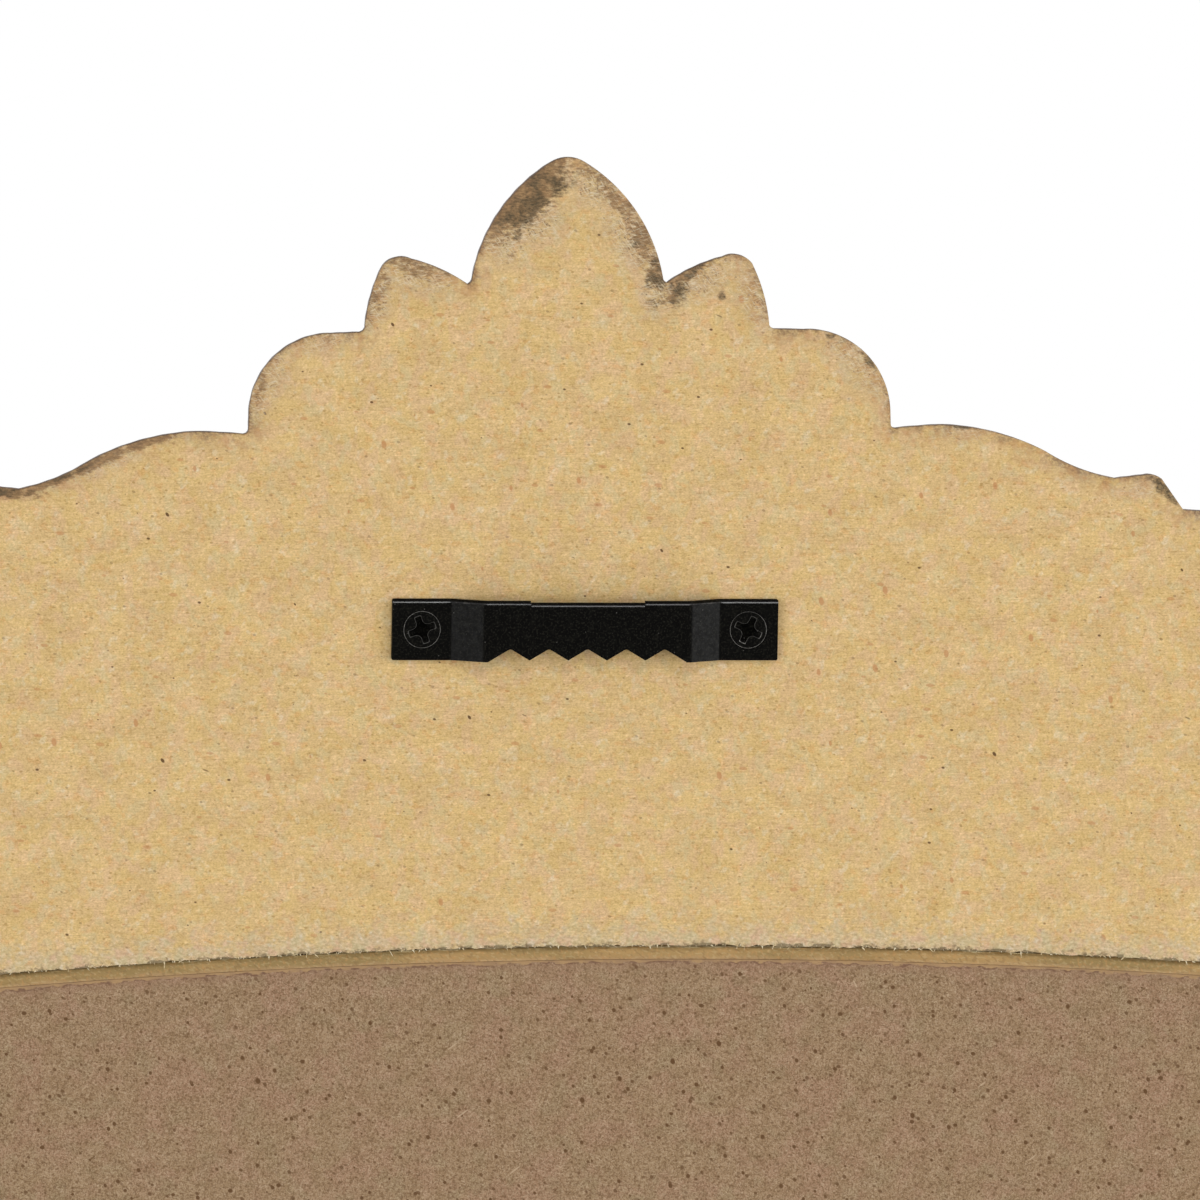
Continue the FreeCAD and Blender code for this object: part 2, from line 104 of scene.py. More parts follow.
# The moulding from the bead's inner foot out to the rim, in millimetres. Each step is its (inset, depth)
# points, as in the crest's outline, the number of its parts and how far its stain is rubbed
MOULDING_STEPS = (
    (((84.7, 12.0),), 1, 0),
    (((81.5, 14.5), (78.3, 12.0)), 8, 1),
    (((75.5, 12.0),), 1, 0),
    (((64.5, 9.75), (53.5, 13.5)), 9, 0.05),
    (((51.0, 13.5),), 1, 0.8),
    (((50.5, 13.0),), 1, 0.6),
    (((50.5, 11.6),), 1, 0),
    (((29.5, 21.0), (8.5, 11.6)), 16, 0.25),
    (((6.3, 11.6),), 1, 0),
    (((6.1, 13.6),), 1, 0.4),
    (((5.6, 14.0),), 1, 1),
)
# Distances between the head's stations on the crest, and between the points that its edge is measured to
STATION_SPACING = 0.55 * MM
LINE_SPACING = 0.3 * MM
# Rows from the rim's top to the crest's outline, and stations along a straight member
CREST_ROWS = 60
MEMBER_STATIONS = 420
# Rows of points across the back: from an edge, and about the screws' level, which lies this far down at least
LEAST_LEVEL = 19.2 * MM
BACK_ENDS = np.array([0.12, 0.4, 0.8, 1.4, 2.2, 3.4, 5.2]) * MM
SCREW_ROWS = np.array([-3.4, -2.4, -1.9, -1.5, -1.0, -0.4, 0.4, 1.0, 1.5, 1.9, 2.4, 3.4]) * MM
# Heights of the points up a member's outer edge, in shares of its thickness there
WALL_SHARES = np.array([0.7, 0.35])
RIM_WEAR = 0.3
# Half the width of the head that the photograph looks at, where the rings round the panel are finest
SEEN_HALF = 0.118
# From a screw's middle to a place between its recess and the rim of its head
RECESS_REACH = 2.8 * MM


def length(name, text, value):
    """A property for a size in metres."""
    return FloatProperty(name=name, description=text, default=value, subtype="DISTANCE", unit="LENGTH")


def colour(name, text, value):
    """A property for a colour, in linear values."""
    return FloatVectorProperty(name=name, description=text, default=value, subtype="COLOR", min=0, max=1)


def angle(name, text, degrees):
    """A property for an angle."""
    return FloatProperty(name=name, description=text, default=math.radians(degrees), subtype="ANGLE")


class MirrorSizes(bpy.types.PropertyGroup):
    """Sizes of the mirror, those of its own drawing."""

    band_width: length("Band width", "Width of the frame's back from its edge to the rebate", 0.0744)
    head_radius: length("Head radius", "Radius of the rebate's edge under the head", 1.35)
    rebate_drop: length("Rebate drop", "The rebate's edge below the nail, on the centre line", 0.0494)
    sight_corner: length("Sight corner radius", "Radius of the sight edge's upper corners", 0.011)
    crest_half_width: length("Crest half width", "Half the width of the crest", 0.1015)
    crest_height: length("Crest height", "Height of the crest over its foot", 0.0586)
    crest_lean: length("Crest lean", "How far the middle lobes stand off the centre line", 0.0006)
    crest_edge: length("Crest edge", "Thickness of the crest at its outline", 0.0012)
    crest_plate: length("Crest plate", "Thickness of the crest between the carvings", 0.011)
    crest_round: length("Crest rounding", "How far in the crest's front is rounded over", 0.0045)
    rim_edge: length("Rim edge", "Thickness of the frame at its outer edge", 0.0015)
    rim_round: length("Rim rounding", "How far in the rim's outer side is rounded over", 0.0046)
    panel_gap: length("Panel gap", "Gap between the rebate and the panel", 0.0023)
    panel_bearing: length("Panel bearing", "Width of the ledge under the panel", 0.0064)
    lip_width: length("Lip width", "Width of the lip in front of the glass", 0.006)
    relief_half: length("Relief half length", "Half the length of the step in the hanger's top edge", 0.0094)
    relief_drop: length("Relief drop", "Depth of the step in the hanger's top edge", 0.0003)
    hanger_tilt: angle("Hanger tilt", "The hanger's turn out of level", 0.7)


class MirrorColours(bpy.types.PropertyGroup):
    """Colours of the finishes."""

    board: colour("Fibreboard", "Raw fibreboard of the back", (0.610, 0.425, 0.200))
    board_yellow: colour("Yellow patches", "Yellower patches of the fibreboard", (0.632, 0.443, 0.165))
    board_pink: colour("Pink patches", "Pinker patches of the fibreboard", (0.627, 0.414, 0.250))
    board_green: colour("Greenish patches", "Greenish patches of the fibreboard", (0.574, 0.474, 0.262))
    board_warm: colour("Warm patches", "Orange patches of the fibreboard", (0.627, 0.328, 0.116))
    board_pale: colour("Pale fibres", "Palest fibres of the fibreboard", (0.79, 0.572, 0.302))
    board_brown: colour("Brown fibres", "Darker fibres of the fibreboard", (0.383, 0.238, 0.083))
    board_milky: colour("Milky smears", "Whitish smears in the fibreboard", (0.66, 0.56, 0.38))
    board_rust: colour("Rust-coloured specks", "Rust-coloured specks in the fibreboard", (0.47, 0.215, 0.085))
    board_speck: colour("Specks", "Dark specks in the fibreboard", (0.115, 0.058, 0.024))
    haze: colour("Haze", "Thin overspray near the outline", (0.36, 0.250, 0.152))
    scratch: colour("Scratches", "Fine pale scratches through the overspray", (0.66, 0.56, 0.39))
    overspray: colour("Overspray", "Stain that reached the back's edges", (0.19, 0.112, 0.062))
    drift: colour("Drifted stain", "Brown stain that the smudges lie in", (0.250, 0.150, 0.072))
    smudge: colour("Smudges", "Dark smudges of stain on the back", (0.082, 0.062, 0.036))
    stain: colour("Stain", "Dark stain of the front", (0.045, 0.019, 0.010))
    rub: colour("Rubbed edges", "Stain rubbed back on the high places", (0.24, 0.115, 0.05))
    panel: colour("Hardboard", "Back panel", (0.294, 0.192, 0.108))
    panel_dark: colour("Dark fibres", "Dark fibres of the panel", (0.145, 0.080, 0.036))
    panel_pale: colour("Pale fibres", "Pale fibres of the panel", (0.48, 0.350, 0.230))
    panel_pink: colour("Pink clouds", "Warmer clouds in the panel", (0.312, 0.186, 0.115))
    glue: colour("Glue", "Dried glue in the gap", (0.415, 0.262, 0.102))
    # Also painted as shade in the glue beside the wall
    glue_dark_and_shade: colour("Dark glue", "Thicker glue in the gap", (0.30, 0.205, 0.078))
    # A painted highlight along the top of the glue
    glue_highlight: colour("Glue line", "Pale line along the top of the glue", (0.66, 0.56, 0.32))
    black: colour("Black steel", "Hanger and screws", (0.0009, 0.0008, 0.0006))
    # Also painted on the hanger's burnished top edge as part of its highlight line
    worn: colour("Worn edges", "Edges of the hanger and screws", (0.050, 0.047, 0.042))


class MirrorView(bpy.types.PropertyGroup):
    """The camera of the photograph."""

    azimuth: angle("Azimuth", "Camera's turn about the vertical from straight behind", 8.0)
    elevation: angle("Elevation", "Camera's height above the level view", 6.5)
    roll: angle("Roll", "Camera's turn about its own axis", 0.28)
    distance: length("Distance", "From the camera to the back of the frame", 2.2)
    width: length("Width", "Width of the frame that fills the picture", 0.1957)
    target_x: length("Target across", "Where on the back the picture's middle falls, across", -0.00254)
    target_z: length("Target up", "Where on the back the picture's middle falls, above the nail", 0.00755)


def mirror_plan():
    """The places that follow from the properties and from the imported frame, in metres."""
    sizes = bpy.context.scene.mirror_sizes
    low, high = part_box("head_rail")
    plan = SimpleNamespace(sizes=sizes, back_y=high.y, front_y=low.y, joint_z=low.z)
    plan.centre_x = (low.x + high.x) / 2
    plan.half_width = (high.x - low.x) / 2
    plan.bottom_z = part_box("bottom_rail")[0].z
    plan.rim_radius = sizes.head_radius + sizes.band_width
    plan.head_centre_z = -sizes.rebate_drop - sizes.head_radius
    plan.front_width = sizes.band_width + sizes.panel_gap + sizes.panel_bearing + sizes.lip_width
    plan.shoulder_radius = plan.front_width + sizes.sight_corner
    plan.shoulder_x = plan.half_width - plan.shoulder_radius
    reach = plan.rim_radius - plan.shoulder_radius
    plan.shoulder_z = plan.head_centre_z + math.sqrt(reach ** 2 - plan.shoulder_x ** 2)
    plan.shoulder_angle = math.atan2(plan.shoulder_z - plan.head_centre_z, plan.shoulder_x)
    plan.crest_foot_z = plan.head_centre_z + math.sqrt(plan.rim_radius ** 2 - sizes.crest_half_width ** 2)
    return plan


def arc_through(start, middle, end, count):
    """Points on the circle through three points, in equal steps, without the first one."""
    ax, ay = start
    bx, by = middle
    cx, cy = end
    d = 2 * (ax * (by - cy) + bx * (cy - ay) + cx * (ay - by))
    a, b, c = ax * ax + ay * ay, bx * bx + by * by, cx * cx + cy * cy
    ux = (a * (by - cy) + b * (cy - ay) + c * (ay - by)) / d
    uy = (a * (cx - bx) + b * (ax - cx) + c * (bx - ax)) / d
    first = math.atan2(ay - uy, ax - ux)
    last = math.atan2(cy - uy, cx - ux)
    turn = (last - first + math.pi) % (2 * math.pi) - math.pi
    angles = first + turn * np.arange(1, count + 1) / count
    radius = math.hypot(ax - ux, ay - uy)
    return np.stack([ux + radius * np.cos(angles), uy + radius * np.sin(angles)], 1)


def unit(vectors):
    """Vectors brought to a length of one."""
    return vectors / np.linalg.norm(vectors, axis=-1, keepdims=True)


def line_to(start, end, count):
    """Points on a line in equal steps, without the first one."""
    shares = np.arange(1, count + 1)[:, None] / count
    return np.asarray(start) + shares * (np.asarray(end) - np.asarray(start))


def traced(start, steps, spacing):
    """Points along an outline of lines and arcs, about spacing apart."""
    points = [np.asarray(start, float)[None]]
    for step in steps:
        here = points[-1][-1]
        run = sum(math.dist(p, q) for p, q in zip([here, *step], step))
        count = max(1, math.ceil(run / spacing))
        if len(step) == 1:
            points.append(line_to(here, step[0], count))
        else:
            points.append(arc_through(tuple(here), step[0], step[1], max(count, 3)))
    return np.concatenate(points)


def crest_lean(plan, across):
    """How far the crest leans at this share of its half width: whole in the middle, none at the sides."""
    full, none = CREST_LEAN_SHARES
    return plan.sizes.crest_lean * np.clip((none - abs(across)) / (none - full), 0, 1)


def crest_place(plan, across, rise):
    """The place in the crest at these shares of its half width and of its height, without its lean."""
    sizes = plan.sizes
    return np.array([across * sizes.crest_half_width, plan.crest_foot_z + rise * sizes.crest_height])


def crest_outline(plan, spacing):
    """The crest's outline from its left foot over the apex to its right foot, about x = 0."""

    def placed(across, rise):
        x, z = crest_place(plan, across, rise)
        return float(x + crest_lean(plan, across)), float(z)

    halves = []
    for side in (-1, 1):
        steps = [[placed(side * across, rise) for across, rise in step] for step in CREST_STEP_SHARES]
        halves.append(traced(placed(0.0, 1.0), steps, spacing))
    return np.concatenate([halves[0][:0:-1], halves[1]])


def head_stations(plan):
    """Stations along the head from its left joint to its right: outer edge, inward normal, crest top."""
    side = np.linspace(plan.joint_z, plan.shoulder_z, 5)[:-1]
    stub = np.stack([np.full_like(side, -plan.half_width), side], 1)
    stub_in = np.tile([1.0, 0.0], (len(stub), 1))
    turn = np.linspace(math.pi, math.pi - plan.shoulder_angle, 26)[:-1]
    round_out = np.stack([np.cos(turn), np.sin(turn)], 1)
    shoulder = np.array([-plan.shoulder_x, plan.shoulder_z]) + plan.shoulder_radius * round_out
    crest = crest_outline(plan, STATION_SPACING)
    foot_x = crest[-1, 0]
    end_x = plan.rim_radius * math.cos(plan.shoulder_angle)
    run = np.linspace(-end_x, -foot_x, 30)[:-1]
    arc = np.stack([run, plan.head_centre_z + np.sqrt(plan.rim_radius ** 2 - run ** 2)], 1)
    base_z = plan.head_centre_z + np.sqrt(plan.rim_radius ** 2 - crest[:, 0] ** 2)
    base = np.stack([crest[:, 0], base_z], 1)
    centre = np.array([0, plan.head_centre_z])
    left_edge = np.concatenate([stub, shoulder, arc])
    left_in = np.concatenate([stub_in, -round_out, (centre - arc) / plan.rim_radius])
    edge = np.concatenate([left_edge, base, left_edge[::-1] * FLIP])
    inward = np.concatenate([left_in, (centre - base) / plan.rim_radius, left_in[::-1] * FLIP])
    top = np.concatenate([left_edge, np.stack([crest[:, 0], np.maximum(crest[:, 1], base_z)], 1),
                          left_edge[::-1] * FLIP])
    return edge, inward, top


def moulding_profile(plan):
    """(inset, depth, wear) points of the section from the rebate's edge round to the top of the rim."""
    sizes = plan.sizes
    band, front = sizes.band_width, plan.front_width
    ledge = plan.back_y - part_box("back_panel")[0].y + 0.3 * MM
    pocket = plan.back_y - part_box("mirror_glass")[0].y
    ledge_end = band + sizes.panel_gap + sizes.panel_bearing
    middle = 0.3 * SIGHT_EASING
    steps = [
        (((band, ledge),), 2, 0),
        (((ledge_end, ledge),), 1, 0),
        (((ledge_end, pocket),), 1, 0),
        (((front, pocket),), 1, 0),
        (((front, SIGHT_DEPTH - SIGHT_EASING),), 1, RIM_WEAR),
        (((front - middle, SIGHT_DEPTH - middle), (front - SIGHT_EASING, SIGHT_DEPTH)), 2, 0.6),
    ]
    steps += [(np.array(step) * MM, count, worn) for step, count, worn in MOULDING_STEPS]
    steps.append((((sizes.rim_round, RIM_TOP),), 1, 1))
    points, wear = [(band, BACK_ENDS[0])], [0]
    for step, count, worn in steps:
        run = line_to(points[-1], step[0], count) if len(step) == 1 else arc_through(points[-1], *step, count)
        points += [tuple(point) for point in run]
        bow = np.sin(math.pi * (np.arange(count) + 1) / count) if count > 3 else np.ones(count)
        wear += list(worn * bow)
    return np.column_stack([points, wear])


def rim_depth(plan, inset):
    """Depth of the rim's outer side: from a thin edge it rounds over to the rim's top, as a sine does."""
    edge = plan.sizes.rim_edge
    return edge + (RIM_TOP - edge) * np.sin(math.pi / 2 * np.clip(inset / plan.sizes.rim_round, 0, 1))


def nearest_distance(points, line):
    """The distance from each point to the nearest of a line's points."""
    flat, line = points.reshape(-1, 2).astype(np.float32), line.astype(np.float32)
    result = np.empty(len(flat))
    for start in range(0, len(flat), 4000):
        gaps = flat[start:start + 4000, None] - line
        result[start:start + 4000] = np.sqrt((gaps[..., 0] ** 2 + gaps[..., 1] ** 2).min(1))
    return result.reshape(points.shape[:-1])


def smooth(value):
    """A smooth step from 0 to 1 over the range 0 to 1."""
    value = np.clip(value, 0, 1)
    return value * value * (3 - 2 * value)


def petal_relief(x, z, petal, plan):
    """A petal's height over the crest: a rounded, pointed oval with a sunk vein and side veins."""
    sizes = plan.sizes
    foot, top, width_share, curl_share = petal
    base, tip = crest_place(plan, *foot), crest_place(plan, *top)
    curl = curl_share * sizes.crest_half_width
    run = np.linalg.norm(tip - base)
    along = (tip - base) / run
    across = np.array([-along[1], along[0]])
    rel_x, rel_z = x - base[0], z - base[1]
    a = (rel_x * along[0] + rel_z * along[1]) / run
    b = rel_x * across[0] + rel_z * across[1] - curl * np.clip(a, 0, 1) ** 2 + curl * a
    half_width = sizes.crest_half_width * width_share / 2
    inside = np.clip(a * (1 - a), 0, None)
    reach = half_width * 2 * np.sqrt(inside) * (0.75 + 0.5 * a)
    u = np.where(reach > 1e-6, np.abs(b) / np.maximum(reach, 1e-6), 9.0)
    dome = np.sqrt(np.clip(1 - u ** 2, 0, None))
    height = dome * (0.35 + 0.65 * np.sin(math.pi * np.clip(a, 0, 1)) ** 0.5)
    vein = np.exp(-(b / (0.10 * half_width + 0.25 * MM)) ** 2) * smooth(a / 0.15) * smooth((1 - a) / 0.2)
    rib_pitch, rib_slant, vein_depth, rib_depth = 2.2 * MM, 1.6 * MM, 0.6 * MM, 0.28 * MM
    ribs = 0.5 + 0.5 * np.cos(2 * math.pi * (a * run / rib_pitch - np.abs(b) / rib_slant))
    ribs = ribs * smooth((u - 0.15) / 0.3) * smooth((1 - u) / 0.3)
    rise = half_width * 0.85 + 1.2 * MM
    return np.where(u < 1, height * rise - vein * vein_depth - ribs * rib_depth * (dome > 0), 0.0)


def scroll_relief(x, z, plan):
    """A scroll's height over the crest: a spiral ridge that winds in to a round button."""
    cx, cz = crest_place(plan, *SCROLL_CENTRE_SHARES)
    radius = np.hypot(x - cx, z - cz)
    turn = np.arctan2(z - cz, x - cx)
    outer, pitch, ridge_rise = 10.0 * MM, 3.6 * MM, 4.2 * MM
    button_radius, button_rise = 3.4 * MM, 6.2 * MM
    phase = (radius + pitch * turn / (2 * math.pi)) / pitch
    ridge = np.sin(math.pi * (phase % 1.0)) ** 0.7
    ridge = ridge * smooth((outer - radius) / (1.2 * MM)) * ridge_rise
    ridge = ridge * smooth((radius - 2.6 * MM) / (1.0 * MM))
    button = np.sqrt(np.clip(1 - (radius / button_radius) ** 2, 0, None)) * button_rise
    return np.where(radius < outer, np.maximum(ridge, button), 0)


def crest_depth(x, z, edge_distance, plan):
    """Depth of the crest's front: a plate rounded over to its edge, and the carving's forms on it."""
    sizes = plan.sizes
    rounding = np.sin(math.pi / 2 * np.clip(edge_distance / sizes.crest_round, 0, 1))
    ground = sizes.crest_edge + (sizes.crest_plate - sizes.crest_edge) * rounding
    mirrored = np.abs(x - crest_lean(plan, x / sizes.crest_half_width))
    relief = scroll_relief(mirrored, z, plan)
    for petal in PETAL_SHARES:
        relief = np.maximum(relief, petal_relief(mirrored, z, petal, plan))
    limit = (plan.back_y - plan.front_y) - 0.1 * MM
    kept = smooth((edge_distance - 0.6 * MM) / (2.4 * MM))
    return np.minimum(ground + relief * kept, limit), relief * kept


def middle_of(node):
    """The middle of a CAD node's box."""
    low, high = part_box(node)
    return [(a + b) / 2 for a, b in zip(low, high)]


def add_object(name, data):
    """An object in the scene, with this data."""
    item = bpy.data.objects.new(name, data)
    bpy.context.scene.collection.objects.link(item)
    return item


def add_piece(name, mesh, replaced):
    """A piece that rides on the frame and stands for its CAD nodes."""
    piece = add_object(name, mesh)
    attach(piece, BODY)
    if replaced:
        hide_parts(*replaced)
    return piece


def shade_smooth(mesh, degrees):
    """Smooth shading, with the edges sharp that turn by more than an angle."""
    mesh.polygons.foreach_set("use_smooth", np.ones(len(mesh.polygons), bool))
    mesh.set_sharp_from_angle(angle=math.radians(degrees))


def make_piece(name, points, faces, replaced=(), sharp=35.0):
    """A piece of a closed mesh, its faces turned outward."""
    points = np.asarray(points, float)
    mesh = bpy.data.meshes.new(name)
    mesh.from_pydata(points.tolist(), [], faces)
    mesh.update()
    mesh.calc_loop_triangles()
    corners = np.empty(len(mesh.loop_triangles) * 3, np.int32)
    mesh.loop_triangles.foreach_get("vertices", corners)
    a, b, c = (points[corners.reshape(-1, 3)[:, k]] for k in range(3))
    if np.einsum("ij,ij->i", a, np.cross(b, c)).sum() < 0:
        mesh.flip_normals()
    shade_smooth(mesh, sharp)
    return add_piece(name, mesh, replaced)


def tube_faces(stations, loop, closed=False):
    """Quads between neighbouring stations of a closed loop of points, and a face at each open end."""
    j = np.arange(stations if closed else stations - 1)[:, None]
    k = np.arange(loop)[None, :]
    here, there = j * loop, (j + 1) % stations * loop
    k_next = (k + 1) % loop
    quads = np.stack([here + k, here + k_next, there + k_next, there + k], -1).reshape(-1, 4).tolist()
    if not closed:
        quads.append(list(range(loop))[::-1])
        quads.append(list(range((stations - 1) * loop, stations * loop)))
    return quads


def add_attribute(piece, name, values):
    """A number for each point of a piece, for its material to read."""
    attribute = piece.data.attributes.new(name, "FLOAT", "POINT")
    attribute.data.foreach_set("value", np.asarray(values, np.float32).ravel())


def back_rows(total, level):
    """Distances across the back: close at its two edges and about the screws' level, even between."""
    total, level = np.broadcast_arrays(np.asarray(total, float)[:, None], np.asarray(level, float)[:, None])
    first = np.broadcast_to(BACK_ENDS, (len(total), len(BACK_ENDS)))
    screw = level + SCREW_ROWS
    last = total - np.concatenate([BACK_ENDS[:0:-1], [0]])
    upper = first[:, -1:] + np.arange(1, 13) / 13 * (screw[:, :1] - first[:, -1:])
    lower = screw[:, -1:] + np.arange(1, 9) / 9 * (last[:, :1] - screw[:, -1:])
    return np.concatenate([first, upper, screw, lower, last], 1)


def ragged(along, seed):
    """How far a torn edge wanders at places along it: smooth random numbers, fine and finer."""
    random = np.random.default_rng(seed)
    result = np.zeros_like(along)
    for pitch, size in ((2.3 * MM, 0.10 * MM), (1.0 * MM, 0.13 * MM), (0.5 * MM, 0.09 * MM)):
        knots = np.arange(-0.8, 0.8, pitch)
        result += size * np.interp(along, knots, random.uniform(-1, 1, len(knots)))
    return result


def screw_pits(places, plan):
    """How deep the back is sunk under the screws' heads, which hide the pits."""
    depth = np.zeros(places.shape[:-1])
    for name in ("hanger_screw_left", "hanger_screw_right"):
        x, _, z = middle_of(name)
        gap = np.hypot(places[..., 0] + plan.centre_x - x, places[..., 1] - z)
        depth = np.maximum(depth, 3.0 * MM * smooth((2.2 * MM - gap) / (0.8 * MM)))
    return depth


def make_member(node, finish, plan, places, depths, marks):
    """A member from its sections' places and depths, with the marks that its finish reads there."""
    points = np.stack([places[..., 0] + plan.centre_x, plan.back_y - depths, places[..., 1]], -1)
    faces = tube_faces(*depths.shape)
    piece = make_piece(node + finish, points.reshape(-1, 3), faces, [node])
    for mark, values in marks.items():
        add_attribute(piece, mark, np.broadcast_to(values, depths.shape))
    return piece


def make_head_rail(plan):
    """The head: its section carried along the arch, widened upwards by the crest."""
    sizes = plan.sizes
    edge, inward, top = head_stations(plan)
    rise = np.linalg.norm(top - edge, axis=1)
    up = np.where(rise[:, None] > TINY, (top - edge) / np.maximum(rise, TINY)[:, None], 0)

    def spot(distance):
        """Places this far below the top of each station: down the crest, then across the band."""
        below = distance - rise[:, None]
        above = top[:, None] - up[:, None] * distance[..., None]
        under = edge[:, None] + inward[:, None] * below[..., None]
        return np.where(below[..., None] < 0, above, under), below

    level = np.maximum(top[:, 1] - middle_of("hanger_screw_left")[2], LEAST_LEVEL)
    torn = ragged(edge[:, 0] - 0.7 * edge[:, 1], SEED)
    back, back_inset = spot(back_rows(rise + sizes.band_width + torn, level))

    profile = moulding_profile(plan)
    insets = np.tile(profile[:, 0], (len(edge), 1))
    insets[:, 0] += torn
    front = edge[:, None] + inward[:, None] * insets[..., None]

    crest, crest_inset = spot((rise[:, None] + profile[-1, 0]) * np.linspace(1, 0, CREST_ROWS + 1)[1:])
    line = crest_outline(plan, LINE_SPACING)
    raised = rise > TINY
    gap = nearest_distance(crest[raised], line)
    plate, relief = crest_depth(crest[raised, :, 0], crest[raised, :, 1], gap, plan)
    crest_depths = rim_depth(plan, np.maximum(crest_inset, 0)) * (crest_inset >= 0)
    crest_depths[raised] = np.maximum(plate, crest_depths[raised])
    crest_wear = np.full_like(crest_depths, RIM_WEAR)
    crest_wear[raised] = np.clip(relief / (6.0 * MM), 0.1, 1)
    wall = np.repeat(crest[:, -1:], len(WALL_SHARES), 1)
    wall_depths = crest_depths[:, -1:] * WALL_SHARES

    places = np.concatenate([back, front, crest, wall], 1)
    depths = np.concatenate([screw_pits(back, plan), np.tile(profile[:, 1], (len(edge), 1)), crest_depths,
                             wall_depths], 1)
    wear = np.concatenate([np.zeros_like(back_inset), np.tile(profile[:, 2], (len(edge), 1)), crest_wear,
                           np.zeros_like(wall_depths)], 1)
    rim, rebate = np.zeros_like(depths), np.ones_like(depths)
    on_back = slice(back_inset.shape[1])
    rim[:, on_back] = nearest_distance(back, np.concatenate([top, line]))
    rebate[:, on_back] = sizes.band_width - back_inset
    marks = {"rim": rim, "rebate": rebate, "wear": wear}
    return make_member("head_rail", "_carved", plan, places, depths, marks)


def make_straight_member(node, plan, ends, seed):
    """A straight member: its section carried from one end to the other, each end cut to its plane.

    An end is the place of the outer edge there, and how far the place moves for each metre of inset.
    """
    sizes = plan.sizes
    band = sizes.band_width
    middle = np.linspace(BACK_ENDS[-1], band - BACK_ENDS[-1], 6)[1:-1]
    back = np.concatenate([BACK_ENDS, middle, band - BACK_ENDS[::-1], [band]])
    profile = moulding_profile(plan)
    rim = sizes.rim_round * (1 - np.linspace(0, 1, 9)[1:])
    inset = np.concatenate([back, profile[:, 0], rim, [0, 0]])
    depth = np.concatenate([0 * back, profile[:, 1], rim_depth(plan, rim), WALL_SHARES * sizes.rim_edge])
    wear = np.concatenate([0 * back, profile[:, 2], np.full_like(rim, RIM_WEAR), [0, 0]])
    first, last = ([np.array(part) for part in end] for end in ends)
    run = np.linalg.norm((last[0] - first[0]) + (last[1] - first[1]) * inset[:, None], axis=1).max()
    shares = np.linspace(0, 1, MEMBER_STATIONS)
    insets = np.tile(inset, (len(shares), 1))
    torn = ragged(shares * run, seed) * smooth(shares * 80) * smooth((1 - shares) * 80)
    insets[:, len(back) - 1:len(back) + 1] += torn[:, None]
    start, stop = (place + slope * insets[..., None] for place, slope in (first, last))
    places = start + shares[:, None, None] * (stop - start)
    rebate = np.ones_like(inset)
    rebate[:len(back)] = band - back
    marks = {"rim": np.where(depth > 0, 0, inset), "rebate": rebate, "wear": wear}
    return make_member(node, "_moulded", plan, places, np.tile(depth, (len(shares), 1)), marks)


def make_stiles_and_bottom(plan):
    """The two stiles and the bottom rail, joined square under the shoulders and mitred below."""
    half, joint, foot = plan.half_width, plan.joint_z, plan.bottom_z
    left_mitre, right_mitre = ((-half, foot), (1, 1)), ((half, foot), (-1, 1))
    return [make_straight_member(node, plan, ends, seed) for node, ends, seed in (
        ("left_stile", (((-half, joint), (1, 0)), left_mitre), SEED),
        ("right_stile", (((half, joint), (-1, 0)), right_mitre), SEED + 2),
        ("bottom_rail", (left_mitre, right_mitre), SEED + 3),
    )]


class Signal:
    """A number in a node tree, from a node or plain, for sums written as they are said."""

    def __init__(self, nodes, socket):
        self.nodes, self.socket = nodes, socket

    def maths(self, kind, other=0.0):
        """This number and another one, through a sum of this kind."""
        node = self.nodes.add("Math", {"operation": kind})
        self.nodes.fill(node.inputs[0], self)
        self.nodes.fill(node.inputs[1], other)
        return Signal(self.nodes, node.outputs[0])

    __add__ = partialmethod(maths, "ADD")
    __sub__ = partialmethod(maths, "SUBTRACT")
    __mul__ = partialmethod(maths, "MULTIPLY")
    __truediv__ = partialmethod(maths, "DIVIDE")
    __pow__ = partialmethod(maths, "POWER")
    __abs__ = partialmethod(maths, "ABSOLUTE")
    most = partialmethod(maths, "MAXIMUM")
    under = partialmethod(maths, "LESS_THAN")

    def step(self, low, high, to_low=0.0, to_high=1.0):
        """A smooth step of this number from low to high."""
        node = self.nodes.add("MapRange", {"interpolation_type": "SMOOTHSTEP"}, Value=self, From_Min=low,
                              From_Max=high, To_Min=to_low, To_Max=to_high)
        return Signal(self.nodes, node.outputs["Result"])


class Nodes:
    """A node tree, with short calls to add nodes and to fill their sockets."""

    def __init__(self, tree):
        self.tree = tree

    def add(self, kind, settings=None, **inputs):
        """A node of this kind, with its settings made and its named inputs filled."""
        node = self.tree.nodes.new("ShaderNode" + kind)
        for key, value in (settings or {}).items():
            setattr(node, key, value)
        for key, value in inputs.items():
            self.fill(node.inputs[key.replace("_", " ")], value)
        return node

    def fill(self, socket, value):
        """Link a socket to what a node gives out, or set it to a plain value."""
        value = getattr(value, "socket", value)
        if isinstance(value, bpy.types.NodeSocket):
            self.tree.links.new(value, socket)
        else:
            socket.default_value = value

    def vectors(self, kind, *values, output="Vector"):
        """Vectors through a sum of this kind."""
        node = self.add("VectorMath", {"operation": kind})
        for socket, value in zip(node.inputs, values):
            self.fill(socket, value)
        return node.outputs[output]


def ink(value):
    """A colour with its alpha, from the name of a property or a tint or from three numbers."""
    if isinstance(value, str):
        value = TINTS[value] if value in TINTS else tuple(getattr(bpy.context.scene.mirror_colours, value))
    return (*value, 1) if isinstance(value, tuple) else value


